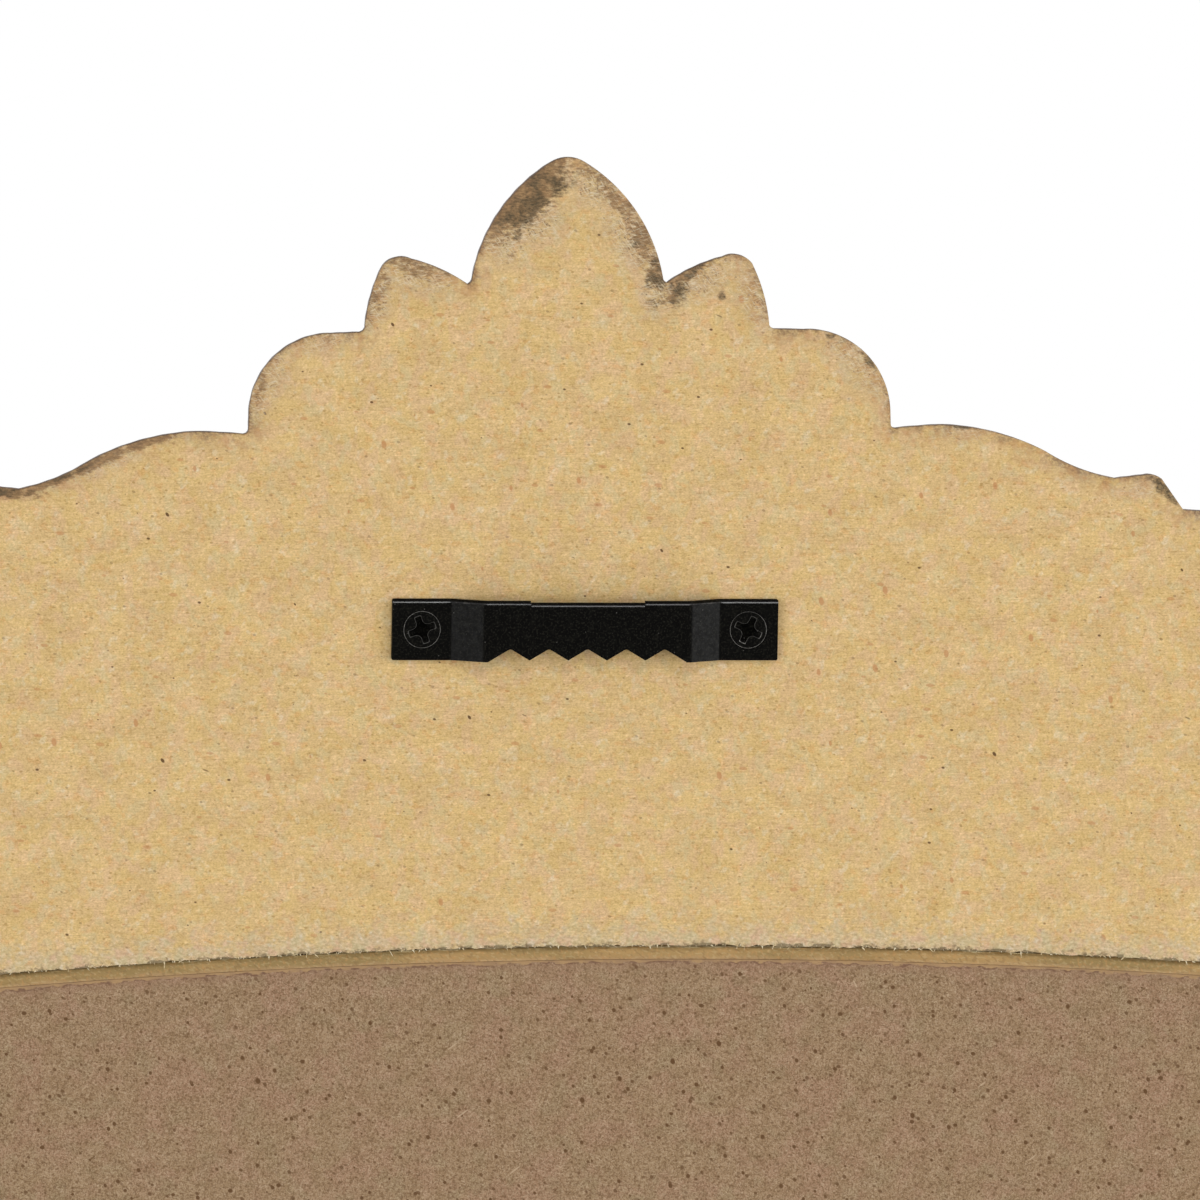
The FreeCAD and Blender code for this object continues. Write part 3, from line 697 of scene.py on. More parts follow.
class NodeSheet(Nodes):
    """A material in the making: its nodes, and its base, the colour that each coat is laid over.

    Sizes are in millimetres and turns in radians, both in the plane of the back. A size drawn out
    by a stretch is that many times longer along its turn.
    """

    def __init__(self, name, roughness, specular=0.5, metallic=0.0, base=None):
        self.material = bpy.data.materials.new(name)
        self.material.use_nodes = True
        super().__init__(self.material.node_tree)
        self.shader = self.tree.nodes["Principled BSDF"]
        self.base = base
        self.look(Roughness=roughness, Specular_IOR_Level=specular, Metallic=metallic)
        self.place = self.add("TexCoord").outputs["Object"]

    def look(self, **inputs):
        """Fill the shader's inputs."""
        for key, value in inputs.items():
            self.fill(self.shader.inputs[key.replace("_", " ")], value)

    @cached_property
    def axes(self):
        """The place along X, Y and Z."""
        split = self.add("SeparateXYZ", Vector=self.place)
        return [Signal(self, split.outputs[axis]) for axis in "XYZ"]

    @cached_property
    def flat(self):
        """The place in the plane of the back."""
        across, _, up = self.axes
        return self.add("CombineXYZ", X=across, Y=up).outputs["Vector"]

    def attribute(self, name):
        """A mark of the piece."""
        return Signal(self, self.add("Attribute", {"attribute_name": name}).outputs["Fac"])

    def cells(self, size, stretch, turn):
        """The place counted in cells of this size."""
        size *= MM
        return self.add("Mapping", {"vector_type": "TEXTURE"}, Vector=self.flat, Rotation=(0, 0, turn),
                        Scale=(size * stretch, size, 1)).outputs["Vector"]

    def noise(self, scale, detail=2.0, roughness=0.5, place=None):
        """Noise in all three directions, of this many cells to a metre."""
        node = self.add("TexNoise", Vector=place or self.place, Scale=scale, Detail=detail,
                        Roughness=roughness)
        return Signal(self, node.outputs["Fac"])

    def grain(self, size, stretch=1.0, turn=0.0, detail=2.0, roughness=0.5):
        """Noise with cells of this size."""
        node = self.add("TexNoise", {"noise_dimensions": "2D"}, Vector=self.cells(size, stretch, turn),
                        Scale=1.0, Detail=detail, Roughness=roughness)
        return Signal(self, node.outputs["Fac"])

    def flecks(self, size, low, high, amount=1.0, stretch=1.0, turn=0.0, detail=1.0, roughness=0.5):
        """A mask of irregular flecks, where the grain of this size steps up from low to high."""
        return self.grain(size, stretch, turn, detail, roughness).step(low, high, 0, amount)

    def specks(self, pitch, radius, keep, stretch=1.0, turn=0.0):
        """A mask of scattered specks: one spot to a cell of this pitch, and this share of them kept."""
        node = self.add("TexVoronoi", {"voronoi_dimensions": "2D"}, Vector=self.cells(pitch, stretch, turn),
                        Scale=1.0)
        chosen = Signal(self, self.add("SeparateColor", Color=node.outputs["Color"]).outputs["Red"])
        size = chosen.step(0, keep, radius / pitch, radius / pitch / 4)
        spot = (Signal(self, node.outputs["Distance"]) / size).step(0.7, 1.15, 1, 0)
        return spot * chosen.under(keep)

    def blot(self, middle, halves, turn, strength):
        """A soft oval about a place: its half lengths, its turn in degrees and its strength."""
        across, _, up = self.axes
        away = self.add("CombineXYZ", X=across - middle[0] * MM, Y=up - middle[1] * MM).outputs["Vector"]
        turned = self.add("Mapping", Vector=away, Rotation=(0, 0, -math.radians(turn))).outputs["Vector"]
        scaled = self.vectors("MULTIPLY", turned, (1 / (halves[0] * MM), 1 / (halves[1] * MM), 1))
        return Signal(self, self.vectors("LENGTH", scaled, output="Value")).step(0.1, 1.5, strength, 0)

    def blots(self, table):
        """The strongest of a table's soft ovals at each place."""
        total, *others = (self.blot(*row) for row in table)
        for other in others:
            total = total.most(other)
        return total

    def mix(self, share, first, second, blend="MIX"):
        """The second colour over the first, by a share."""
        node = self.add("Mix", {"data_type": "RGBA", "blend_type": blend})
        for index, value in ((0, share), (6, first), (7, second)):
            self.fill(node.inputs[index], ink(value))
        return node.outputs[2]

    def shade(self, colour_socket, tone, shares=(1, 1, 1)):
        """A colour made lighter or darker by a number, each of its three channels by its own share of it."""
        change = tone - 1.0
        red, green, blue = (change * share + 1.0 for share in shares)
        tint = self.add("CombineColor", Red=red, Green=green, Blue=blue).outputs["Color"]
        return self.mix(1.0, colour_socket, tint, "MULTIPLY")

    def paint(self, share, coat):
        """Lay a coat over the base, by a share."""
        self.base = self.mix(share, self.base, coat)

    def tone(self, tone, shares):
        """Shade the base."""
        self.base = self.shade(self.base, tone, shares)

    def paint_flecks(self, span, rows):
        """Lay flecks: rows of size, stretch, turn, where their step starts, colour and amount."""
        for size, stretch, turn, low, coat, amount in rows:
            self.paint(self.flecks(size, low, low + span, amount, stretch, turn), coat)

    def paint_specks(self, rows):
        """Lay specks: rows of pitch, radius, share kept, stretch, turn, colour and amount."""
        for pitch, radius, keep, stretch, turn, coat, amount in rows:
            self.paint(self.specks(pitch, radius, keep, stretch, turn) * amount, coat)

    def finish(self, height=None, distance=0.0, strength=0.0):
        """The material, with its base and a bump of this height, in metres, where there is one."""
        self.look(Base_Color=ink(self.base))
        if height is not None:
            bump = self.add("Bump", Height=height, Distance=distance, Strength=strength)
            self.look(Normal=bump.outputs["Normal"])
        return self.material


# Fixed tints between the colours that can be set
TINTS = {
    "warm_haze": (0.44, 0.230, 0.098),
    "outline": (0.120, 0.072, 0.043),
    "rebate_dust": (0.525, 0.432, 0.292),
    "rebate_pit": (0.27, 0.185, 0.10),
    # Painted shadow along the rebate's torn edge
    "rebate_edge_shadow": (0.135, 0.102, 0.054),
    "stain_thin": (0.088, 0.039, 0.018),
    "stain_pore": (0.012, 0.006, 0.004),
    "stain_fleck": (0.006, 0.004, 0.003),
    "fibre": (0.68, 0.555, 0.33),
    "fibre_pale": (0.80, 0.72, 0.52),
    "fibre_dark": (0.45, 0.31, 0.15),
    "panel_green": (0.292, 0.204, 0.110),
    "panel_olive": (0.272, 0.202, 0.112),
    "panel_border": (0.272, 0.156, 0.099),
    "panel_smear": (0.385, 0.242, 0.116),
    "panel_smear_dark": (0.330, 0.206, 0.108),
    "panel_line": (0.150, 0.075, 0.046),
    # Painted light: the glue lighter towards the panel's edge
    "glue_film_lit": (0.460, 0.290, 0.148),
    "glue_shadow": (0.098, 0.076, 0.040),
    "glue_rust": (0.50, 0.27, 0.10),
    "glue_dust": (0.55, 0.42, 0.22),
    "glue_brown": (0.22, 0.135, 0.055),
    "steel_cloud": (0.0050, 0.0048, 0.0036),
    "steel_fleck": (0.0100, 0.0094, 0.0070),
    "steel_dust": (0.017, 0.0165, 0.013),
    "steel_dust_pale": (0.11, 0.105, 0.095),
    # Painted highlights on the screws' rims and round their recesses
    "edge_dull": (0.070, 0.067, 0.060),
    "rim_highlight_bright": (0.185, 0.178, 0.160),
    "recess_highlight_dim": (0.024, 0.023, 0.020),
    "silver": (0.90, 0.925, 0.915),
    "silver_pale": (0.915, 0.935, 0.925),
    "foam_cell": (0.66, 0.65, 0.62),
    "foam": (0.80, 0.79, 0.76),
    "beech": (0.58, 0.40, 0.24),
    "beech_fleck": (0.40, 0.25, 0.13),
    "floor": (0.82, 0.82, 0.81),
}


# Brown stain on the back: place across and up, half lengths, turn in degrees and strength
DRIFTS = (
    ((10.6, 74.0), (9.6, 4.2), -44, 1.35),
    ((14.4, 69.0), (3.6, 2.0), -66, 0.90),
    ((0.8, 78.5), (5.2, 1.4), -8, 0.50),
    ((-2.0, 76.5), (3.4, 1.1), 32, 0.55),
    ((-5.2, 72.6), (5.4, 1.5), 49, 0.62),
    ((-9.4, 66.0), (5.6, 1.9), 67, 0.70),
    ((-11.6, 60.8), (3.2, 1.9), 68, 0.85),
    ((-16.8, 60.8), (4.4, 1.3), -32, 0.85),
    ((-14.4, 57.6), (2.8, 2.2), -40, 0.62),
    ((28.2, 62.2), (7.4, 1.7), 13, 0.58),
    ((34.1, 57.8), (6.0, 1.5), -74, 0.56),
    ((53.8, 41.2), (5.2, 1.1), -70, 0.46),
    ((86.8, 27.8), (5.2, 0.75), -20, 1.0),
    ((79.5, 31.0), (6.0, 0.95), -24, 1.05),
    ((72.0, 33.9), (5.4, 0.8), -18, 0.95),
    ((94.0, 26.2), (5.4, 1.2), 3, 0.95),
)
# Dark smudges in it, in the same numbers
SMUDGES = (
    ((4.4, 76.2), (3.0, 2.2), -12, 0.88),
    ((7.6, 74.4), (4.8, 3.2), -44, 0.95),
    ((7.8, 75.0), (0.9, 0.8), 0, 1.1),
    ((8.8, 72.3), (4.0, 2.0), -52, 0.70),
    ((11.2, 70.4), (4.2, 2.8), -35, 1.0),
    ((11.3, 67.6), (0.9, 1.3), 0, 1.1),
    ((-8.0, 65.9), (0.9, 0.9), 0, 0.80),
    ((-10.8, 61.0), (1.3, 2.6), 20, 0.85),
    ((-12.2, 59.2), (1.5, 1.6), -10, 0.90),
    ((-14.6, 57.8), (2.6, 1.7), -52, 1.0),
    ((-17.4, 61.0), (3.0, 0.8), -32, 0.85),
    ((-11.0, 55.9), (1.8, 1.4), -20, 0.50),
    ((-22.4, 57.2), (0.8, 0.8), 0, 1.0),
    ((-40.4, 50.5), (0.9, 0.5), -8, 1.3),
    ((-46.7, 46.2), (1.9, 0.5), 49, 1.3),
    ((-62.6, 35.4), (2.6, 0.45), 7, 1.2),
    ((-96.0, 24.7), (3.2, 1.1), 45, 1.3),
    ((94.6, 26.3), (4.6, 0.95), 2, 0.95),
    ((84.6, 28.8), (4.6, 0.40), -24, 0.85),
)
# Scuffed and speckled places, in the same numbers
SCUFFS = (
    ((-8.0, 66.4), (9.0, 4.4), 52, 0.95),
    ((-2.0, 74.8), (7.0, 4.2), 28, 0.85),
    ((13.4, 65.8), (4.6, 4.0), 0, 0.85),
    ((7.4, 68.8), (5.6, 3.0), -36, 0.85),
    ((-11.6, 58.3), (3.8, 5.2), 0, 0.85),
    ((-19.2, 59.6), (7.0, 3.4), -30, 0.80),
    ((28.0, 60.8), (9.0, 3.2), 14, 0.75),
    ((34.0, 57.0), (6.5, 2.8), -75, 0.80),
    ((52.2, 43.0), (9.0, 3.0), -62, 0.72),
    ((43.0, 50.2), (7.0, 2.4), -10, 0.65),
    ((-27.4, 56.8), (7.5, 3.0), 72, 0.75),
    ((-45.0, 45.6), (10.0, 3.4), 48, 0.72),
    ((79.0, 30.0), (9.0, 1.8), -24, 0.55),
    ((-62.5, 34.2), (6.0, 1.8), 8, 0.55),
    ((-92.0, 24.6), (6.0, 2.0), 0, 0.60),
)


def lay_raw_board(sheet):
    """Raw fibreboard: soft patches of tint, short fibres, fine grain and dark specks. Gives the grain."""
    for size, turn, low, high, coat, amount in (
        (3.8, 0.4, 0.40, 0.60, "board_yellow", 0.46),
        (3.0, 1.9, 0.50, 0.64, "board_pink", 0.50),
        (2.3, 1.1, 0.54, 0.67, "board_green", 0.50),
        (1.5, 0.2, 0.59, 0.72, "board_warm", 0.38),
        (1.7, 2.3, 0.62, 0.76, "board_milky", 0.50),
    ):
        sheet.paint(sheet.flecks(size, low, high, amount, 1.3, turn, 2), coat)
    sheet.paint_flecks(0.14, (
        (0.42, 2.0, 0.10, 0.59, "board_brown", 0.30),
        (0.46, 1.7, -0.20, 0.58, "board_pale", 0.34),
        (0.75, 1.6, 0.15, 0.60, "board_brown", 0.29),
        (0.90, 1.4, -0.5, 0.61, "board_pale", 0.36),
        (0.38, 3.4, 1.3, 0.62, "board_brown", 0.24),
    ))
    grain = sheet.grain(0.24, 1.5, 0.0, 3, 0.65)
    lines = sheet.grain(0.24, 18, 0.0, 1)
    cloud = sheet.grain(5, 1.5, 0.0, 3)
    tone = grain.step(0.25, 0.75, 0.85, 1.12) * lines.step(0.3, 0.7, 0.95, 1.045)
    sheet.tone(tone * cloud.step(0.25, 0.75, 0.945, 1.05), (0.86, 1.0, 1.4))
    sheet.paint_specks((
        (1.7, 0.17, 0.50, 1.6, 0.1, "board_brown", 0.75),
        (2.9, 0.20, 0.45, 1.5, 0.3, "board_speck", 0.42),
        (4.4, 0.34, 0.40, 2.2, 0.1, "board_rust", 0.55),
        (7.5, 0.44, 0.35, 1.7, 1.4, "board_rust", 0.70),
        (7.0, 0.20, 0.40, 1.5, 0.2, "board_speck", 0.90),
        (17.0, 0.27, 0.40, 1.7, 0.9, "board_speck", 0.95),
        (11.0, 0.13, 0.30, 4.5, 0.4, "board_speck", 0.65),
    ))
    return grain


def lay_overspray(sheet):
    """Stain that drifted over the outline: haze, brown drifts, specks, dark smudges and fine scratches."""
    rim = sheet.attribute("rim")
    drift, smudge, scuff = (sheet.blots(table) for table in (DRIFTS, SMUDGES, SCUFFS))
    patch = sheet.flecks(6, 0.36, 0.66, detail=3)
    rough = sheet.flecks(0.42, 0.30, 0.68, 1.0, 1.5, 0.3, 3, 0.65)
    cloud = sheet.grain(2.4, 1.2, 0.5, 5, 0.68)
    fibres = sheet.grain(0.30, 3.5, 0.05, 3, 0.62)
    streaks = sheet.grain(0.55, 2.4, 0.05, 4, 0.62)

    near = rim.step(0.0002, 0.0044, 1, 0) * patch.step(0, 1, 0.20, 0.70)
    marked = (scuff * 0.95).most(drift * 0.9)
    haze = near.most(marked * cloud.step(0.3, 0.7, 0.55, 1.1))
    sheet.paint(haze * rough.step(0, 1, 0.38, 0.88), "haze")
    sheet.paint(rim.step(0.0006, 0.0046, 0.50, 0) * sheet.flecks(2.2, 0.46, 0.64, detail=3), "warm_haze")

    uneven = cloud.step(0.25, 0.75, -0.16, 0.20) + streaks.step(0.3, 0.7, -0.26, 0.32)
    brown = (drift + uneven).step(0.14, 0.80, 0, 0.90) * drift.step(0.02, 0.2)
    sheet.paint(brown, sheet.shade("drift", fibres.step(0.32, 0.68, 0.72, 1.34)))
    close = (rim + cloud.step(0.3, 0.7, 0.0012, -0.0004)).step(0.0, 0.0018, 0.75, 0)
    sheet.paint(close * rough.step(0, 1, 0.35, 0.95), "overspray")

    speckled = scuff.most(rim.step(0.0004, 0.0040, 0.50, 0) * patch)
    for size, low, coat, amount in (
        (1.1, 0.80, "overspray", 0.55), (0.65, 0.79, "drift", 0.80), (0.45, 0.83, "smudge", 0.75),
    ):
        spots = speckled * 0.24 + sheet.grain(size, 1.3, 0.9, 2.5, 0.55)
        sheet.paint(spots.step(low, low + 0.12, 0, amount) * speckled.step(0.02, 0.3), coat)

    uneven = cloud.step(0.2, 0.8, -0.22, 0.34) + streaks.step(0.3, 0.7, -0.24, 0.28)
    dense = (smudge + uneven).step(0.14, 1.10, 0, 0.92) * smudge.step(0.02, 0.3)
    tint = sheet.mix(cloud.step(0.34, 0.56), "drift", "smudge")
    tint = sheet.shade(tint, fibres.step(0.32, 0.68, 0.78, 1.26))
    sheet.paint(dense * rough.step(0, 1, 0.66, 1.0), tint)

    clear = scuff.step(0.1, 0.9) * dense.most(brown).step(0.3, 1.0, 1, 0.30)
    for turn in (0.95, -0.35, 0.1):
        sheet.paint(sheet.flecks(0.20, 0.58, 0.74, 0.62, 9, turn) * clear, "scratch")
    sheet.paint(rim.step(0.00002, 0.00018, 0.75, 0) * cloud.step(0.38, 0.60, 0.15, 1.0), "outline")


def lay_torn_rebate(sheet, wander):
    """The board beside the rebate: dusty, pitted, patchy and coarse, with a painted shadow line along its
    torn edge.
    """
    rebate = sheet.attribute("rebate")
    near = rebate + wander.step(0.25, 0.75, -0.0022, 0.0022)
    sheet.paint(near.step(0.0, 0.0046, 0.55, 0), "rebate_dust")
    pits = sheet.grain(0.75, 1.5, 0.2, 4, 0.6) + rebate.step(0.0, 0.0024, 0.12, -0.25)
    sheet.paint(pits.step(0.60, 0.72, 0, 0.75), "rebate_pit")
    for size, turn, low, coat in (
        (2.2, 0.3, 0.52, "board_pink"), (1.9, 1.7, 0.52, "board_green"), (1.3, 0.9, 0.60, "board_milky"),
    ):
        share = near.step(0.0010, 0.0060, 0.75, 0) * sheet.flecks(size, low, low + 0.16, 1.0, 1.3, turn, 4)
        sheet.paint(share, sheet.shade(coat, Signal(sheet, 0.93), (1, 1, 0.3)))
    coarse = sheet.grain(0.42, 1.7, 0.15, 4, 0.68).step(0.32, 0.68, -0.20, 0.13)
    sheet.tone(coarse * near.step(0.0, 0.0085, 1, 0) + 1.0, (0.90, 1.0, 1.3))
    # Painted shadow: a broken dark line along the torn edge, where the edge shades the gap below it
    torn = rebate + wander.step(0.36, 0.64, -0.00034, 0.00062)
    sheet.paint(torn.step(0.0, 0.00028, 0.75, 0), "rebate_edge_shadow")


def stain_coat(sheet):
    """The front's dark stain: thin clouds, rubbed high places, open pores and specks flicked on."""
    patches = sheet.noise(260, 4, 0.65).step(0.42, 0.66, 0.1, 1.0)
    worn = patches * sheet.attribute("wear").step(0.2, 1.0, 0, 0.7)
    stain = sheet.mix(sheet.noise(32, 6, 0.66).step(0.44, 0.62, 0, 0.80), "stain", "stain_thin")
    stain = sheet.mix(worn, stain, "rub")
    stain = sheet.mix(sheet.noise(420, 4, 0.7).step(0.48, 0.72, 0, 0.6), stain, "stain_pore")
    return sheet.mix(sheet.specks(13, 0.9, 0.40, 1.3, 0.7) * 0.75, stain, "stain_fleck")


def fibreboard_material():
    """Raw fibreboard behind, stained dark on the front, with overspray round the back's edges."""
    sheet = NodeSheet("fibreboard_stained", 0.75, base="board")
    grain = lay_raw_board(sheet)
    lay_overspray(sheet)
    wander = sheet.grain(1.8, 1.4, 0.0, 4, 0.6)
    lay_torn_rebate(sheet, wander)
    depth = sheet.axes[1] + wander.step(0, 1, -0.00025, 0.00025)
    front = depth.step(-0.0049, -0.0042, 1, 0)
    sheet.paint(front, stain_coat(sheet))
    sheet.look(Specular_IOR_Level=front.step(0, 1, 0.15, 0.3), Roughness=front.step(0, 1, 0.85, 0.48))
    return sheet.finish(grain, 0.00009, 0.6)


def fibre_material():
    """Loose fibres of the torn edge: pale, with darker ones between."""
    sheet = NodeSheet("fibres_torn", 0.85, base="fibre")
    sheet.paint(sheet.flecks(0.5, 0.4, 0.6), "fibre_pale")
    sheet.paint(sheet.flecks(0.8, 0.55, 0.65, 0.7), "fibre_dark")
    return sheet.finish(sheet.noise(4000), 0.00003, 0.4)


def hardboard_material():
    """Brown hardboard: a close felt of short fibres, dark and pale, with clouds, and glue along its edge."""
    sheet = NodeSheet("hardboard_brown", 0.8, 0.15, base="panel")
    sheet.paint(sheet.flecks(11, 0.45, 0.68, 0.65, detail=3), "panel_pink")
    sheet.paint(sheet.flecks(26, 0.4, 0.7, 0.30, detail=2), "panel_green")
    sheet.paint(sheet.flecks(5.5, 0.48, 0.66, 0.50, detail=3), "panel_pink")
    sheet.paint(sheet.flecks(4.5, 0.52, 0.68, 0.42, turn=1.0, detail=3), "panel_olive")
    sheet.paint_flecks(0.13, (
        (0.30, 2.4, 0.1, 0.56, "panel_dark", 0.50),
        (0.30, 2.4, 1.6, 0.56, "panel_dark", 0.50),
        (0.34, 2.0, 0.9, 0.58, "panel_dark", 0.50),
        (0.28, 3.0, 2.5, 0.59, "panel_pale", 0.26),
        (0.28, 3.0, 0.4, 0.59, "panel_pale", 0.26),
        (0.40, 1.6, 1.3, 0.58, "panel_pale", 0.22),
        (0.60, 1.4, 2.0, 0.61, "panel_dark", 0.42),
    ))
    grain = sheet.grain(0.24, 1.0, 0.3, 3, 0.7)
    tone = grain.step(0.25, 0.75, 0.80, 1.27) * sheet.grain(2.4, detail=4).step(0.25, 0.75, 0.90, 1.10)
    sheet.tone(tone, (0.82, 1.0, 1.29))
    sheet.paint_specks((
        (1.15, 0.24, 0.55, 1.3, 0.3, "board_speck", 0.48),
        (2.4, 0.30, 0.50, 1.3, 0.7, "board_speck", 0.80),
        (3.6, 0.34, 0.50, 1.2, 1.1, "board_speck", 0.95),
        (6.5, 0.36, 0.50, 1.2, 0.2, "board_speck", 0.95),
        (9.0, 0.42, 0.40, 1.3, 1.2, "board_speck", 1.0),
        (6.0, 0.13, 0.35, 6.0, 1.1, "panel_pale", 0.8),
        (8.0, 0.15, 0.35, 8.0, 2.5, "panel_pale", 0.75),
        (5.0, 0.15, 0.40, 4.5, -0.6, "panel_dark", 0.8),
    ))
    edge = sheet.attribute("edge") + sheet.grain(1.2, 1.5, 0.0, 4).step(0.3, 0.7, -0.00022, 0.00022)
    sheet.paint(edge.step(0.0006, 0.0024, 0.35, 0), "panel_border")
    smear = sheet.mix(sheet.flecks(1.4, 0.4, 0.6, 1.0, 2, 0.1, 3), "panel_smear", "panel_smear_dark")
    sheet.paint(edge.step(0.00034, 0.00062, 0.90, 0), smear)
    line = edge.step(0.00040, 0.00056) * edge.step(0.00066, 0.00084, 1, 0)
    sheet.paint(line * sheet.flecks(1.1, 0.42, 0.60, 0.75, 1.5, 0.0, 3), "panel_line")
    return sheet.finish(grain, 0.00008, 0.6)


def glue_material():
    """Dried glue with wood dust in it: painted shade towards the wall and painted light towards the panel, a
    painted highlight along its upper edge and a painted shadow beside it.
    """
    sheet = NodeSheet("wood_glue_dusty", 0.55, 0.2, base="glue")
    place = sheet.attribute("across") + sheet.grain(2.6, 2.0, 0.0, 4).step(0.3, 0.7, -0.07, 0.07)
    cloud = sheet.flecks(8, 0.35, 0.65, 1.0, 3.0, detail=3)
    sheet.paint(cloud, "glue_dark_and_shade")
    # Painted light: the glue lighter towards the panel's edge
    sheet.paint(place.step(0.70, 1.0, 0, 0.6), "glue_film_lit")
    # Painted shade: the glue darker towards the wall, under the board's edge
    sheet.paint(place.step(0.26, 0.44, 0.45, 0), "glue_dark_and_shade")
    # Painted highlight along the top of the glue's fillet by the wall
    line = place.step(0.06, 0.10) * place.step(0.13, 0.19, 1, 0)
    sheet.paint(line * cloud.step(0, 1, 0.80, 0.20), "glue_highlight")
    # Painted shadow: a broken dark line right along the wall
    broken = sheet.flecks(0.9, 0.42, 0.60, 1.0, 2.2, 0.0, 4, 0.6)
    sheet.paint(place.step(0.01, 0.08, 0.95, 0) * broken.step(0, 1, 0.12, 1.0), "glue_shadow")
    for size, low, amount, stretch, turn, coat in (
        (0.5, 0.56, 0.4, 1.5, 1.4, "glue_rust"),
        (0.4, 0.55, 0.30, 2.0, 0.2, "glue_dust"),
        (0.5, 0.57, 0.4, 2.0, 0.6, "glue_brown"),
    ):
        sheet.paint(sheet.flecks(size, low, 0.7, amount, stretch, turn), coat)
    return sheet.finish(sheet.noise(1600, 3), 0.0001, 0.5)


def black_steel_material():
    """Black oxide steel with a fine orange-peel surface and scattered dust, dull down in the recesses."""
    sheet = NodeSheet("black_steel", 0.32, 0.040, base="black")
    peel = sheet.noise(1500)
    sheet.paint(sheet.flecks(1.2, 0.50, 0.75, 0.6, detail=3), "steel_cloud")
    sheet.paint(sheet.flecks(0.34, 0.54, 0.68, 0.9, detail=2), "steel_fleck")
    sheet.paint(sheet.specks(0.55, 0.10, 0.6) * 0.7, "steel_dust")
    sheet.paint(sheet.specks(2.4, 0.09, 0.4) * 0.7, "steel_dust_pale")
    recess = sheet.axes[1].step(-0.0042, -0.0032, 0.5, 0)
    sheet.look(Roughness=peel.step(0.3, 0.7, 0.28, 0.40) + recess)
    return sheet.finish(peel, 0.00004, 0.3)


def burnished_highlight_material():
    """Rounded edges of the black steel, burnished glossy, with pale rubbed patches that also paint part of
    the highlight line along the top.
    """
    sheet = NodeSheet("steel_edges_worn", 0.22, 0.30, base="black")
    rub = sheet.noise(900, 3, 0.6)
    sheet.paint(rub.step(0.45, 0.70), "worn")
    sheet.look(Roughness=rub.step(0.35, 0.65, 0.19, 0.27) + sheet.axes[1].step(-0.0024, -0.0008, 0, 0.07))
    return sheet.finish(rub, 0.00002, 0.3)


def rim_highlight_material():
    """The screws' rims: a painted highlight ring, paler in patches, and dimmer painted highlights round the
    recess.
    """
    sheet = NodeSheet("screw_edges_rubbed", 0.4, 0.2, base="edge_dull")
    rub = sheet.grain(0.5, detail=3)
    sheet.paint(rub.step(0.35, 0.65), "rim_highlight_bright")
    x, _, z = middle_of("hanger_screw_right")
    across = abs(sheet.axes[0]) + -abs(x)
    reach = across * across + (sheet.axes[2] - z) ** 2
    sheet.paint(reach.step((2.5 * MM) ** 2, RECESS_REACH ** 2, 0.75, 0), "recess_highlight_dim")
    return sheet.finish(rub, 0.00002, 0.3)


def mirror_material():
    """Silvered glass: a mirror with the faintest green."""
    sheet = NodeSheet("silvered_glass", 0.015, metallic=1.0, base="silver")
    sheet.paint(sheet.noise(9).step(0.3, 0.7), "silver_pale")
    return sheet.finish()


def foam_material():
    """White foam tape with open cells."""
    sheet = NodeSheet("foam_tape", 0.9, base="foam_cell")
    cell = Signal(sheet, sheet.add("TexVoronoi", Vector=sheet.place, Scale=1400).outputs["Distance"])
    sheet.paint(cell.step(0.1, 0.6), "foam")
    return sheet.finish(cell, 0.0002, 0.6)


def beech_material():
    """Plain beech with short flecks along the grain."""
    sheet = NodeSheet("beech_dowel", 0.6, base="beech")
    upright = sheet.add("Mapping", Vector=sheet.place, Scale=(1, 1, 0.12)).outputs["Vector"]
    fleck = sheet.noise(420, 3, place=upright)
    sheet.paint(fleck.step(0.4, 0.7), "beech_fleck")
    return sheet.finish(fleck, 0.0001, 0.5)


def ring_path(plan, inset, fine, coarse):
    """A closed path round the frame at an inset, fine in the head's middle: places and inward normals."""
    half, low = plan.half_width - inset, plan.bottom_z + inset
    radius = plan.rim_radius - inset
    clear = 5 * MM
    bottom_x = np.arange(0, half - clear, coarse)
    side_z = np.arange(low + clear, plan.shoulder_z, coarse)
    turn = np.linspace(0, plan.shoulder_angle, 40)[:-1]
    out = np.stack([np.cos(turn), np.sin(turn)], 1)
    edge_x = radius * math.cos(plan.shoulder_angle)
    outer_x = np.linspace(edge_x, SEEN_HALF, round((edge_x - SEEN_HALF) / coarse))[:-1]
    head_x = np.concatenate([outer_x, np.linspace(SEEN_HALF, 0, round(SEEN_HALF / fine))])
    head = np.stack([head_x, plan.head_centre_z + np.sqrt(radius ** 2 - head_x ** 2)], 1)
    shoulder = np.array([plan.shoulder_x, plan.shoulder_z]) + (plan.shoulder_radius - inset) * out
    parts = (
        (np.stack([bottom_x, np.full_like(bottom_x, low)], 1), [0.0, 1.0]),
        (np.array([[half, low]]), [-1.0, 1.0]),
        (np.stack([np.full_like(side_z, half), side_z], 1), [-1.0, 0.0]),
        (shoulder, -out),
        (head, (np.array([0, plan.head_centre_z]) - head) / radius),
    )
    halves = (np.concatenate([places for places, _ in parts]),
              np.concatenate([np.broadcast_to(normals, places.shape) for places, normals in parts]))
    return [np.concatenate([half_ring, half_ring[-2:0:-1] * FLIP]) for half_ring in halves]


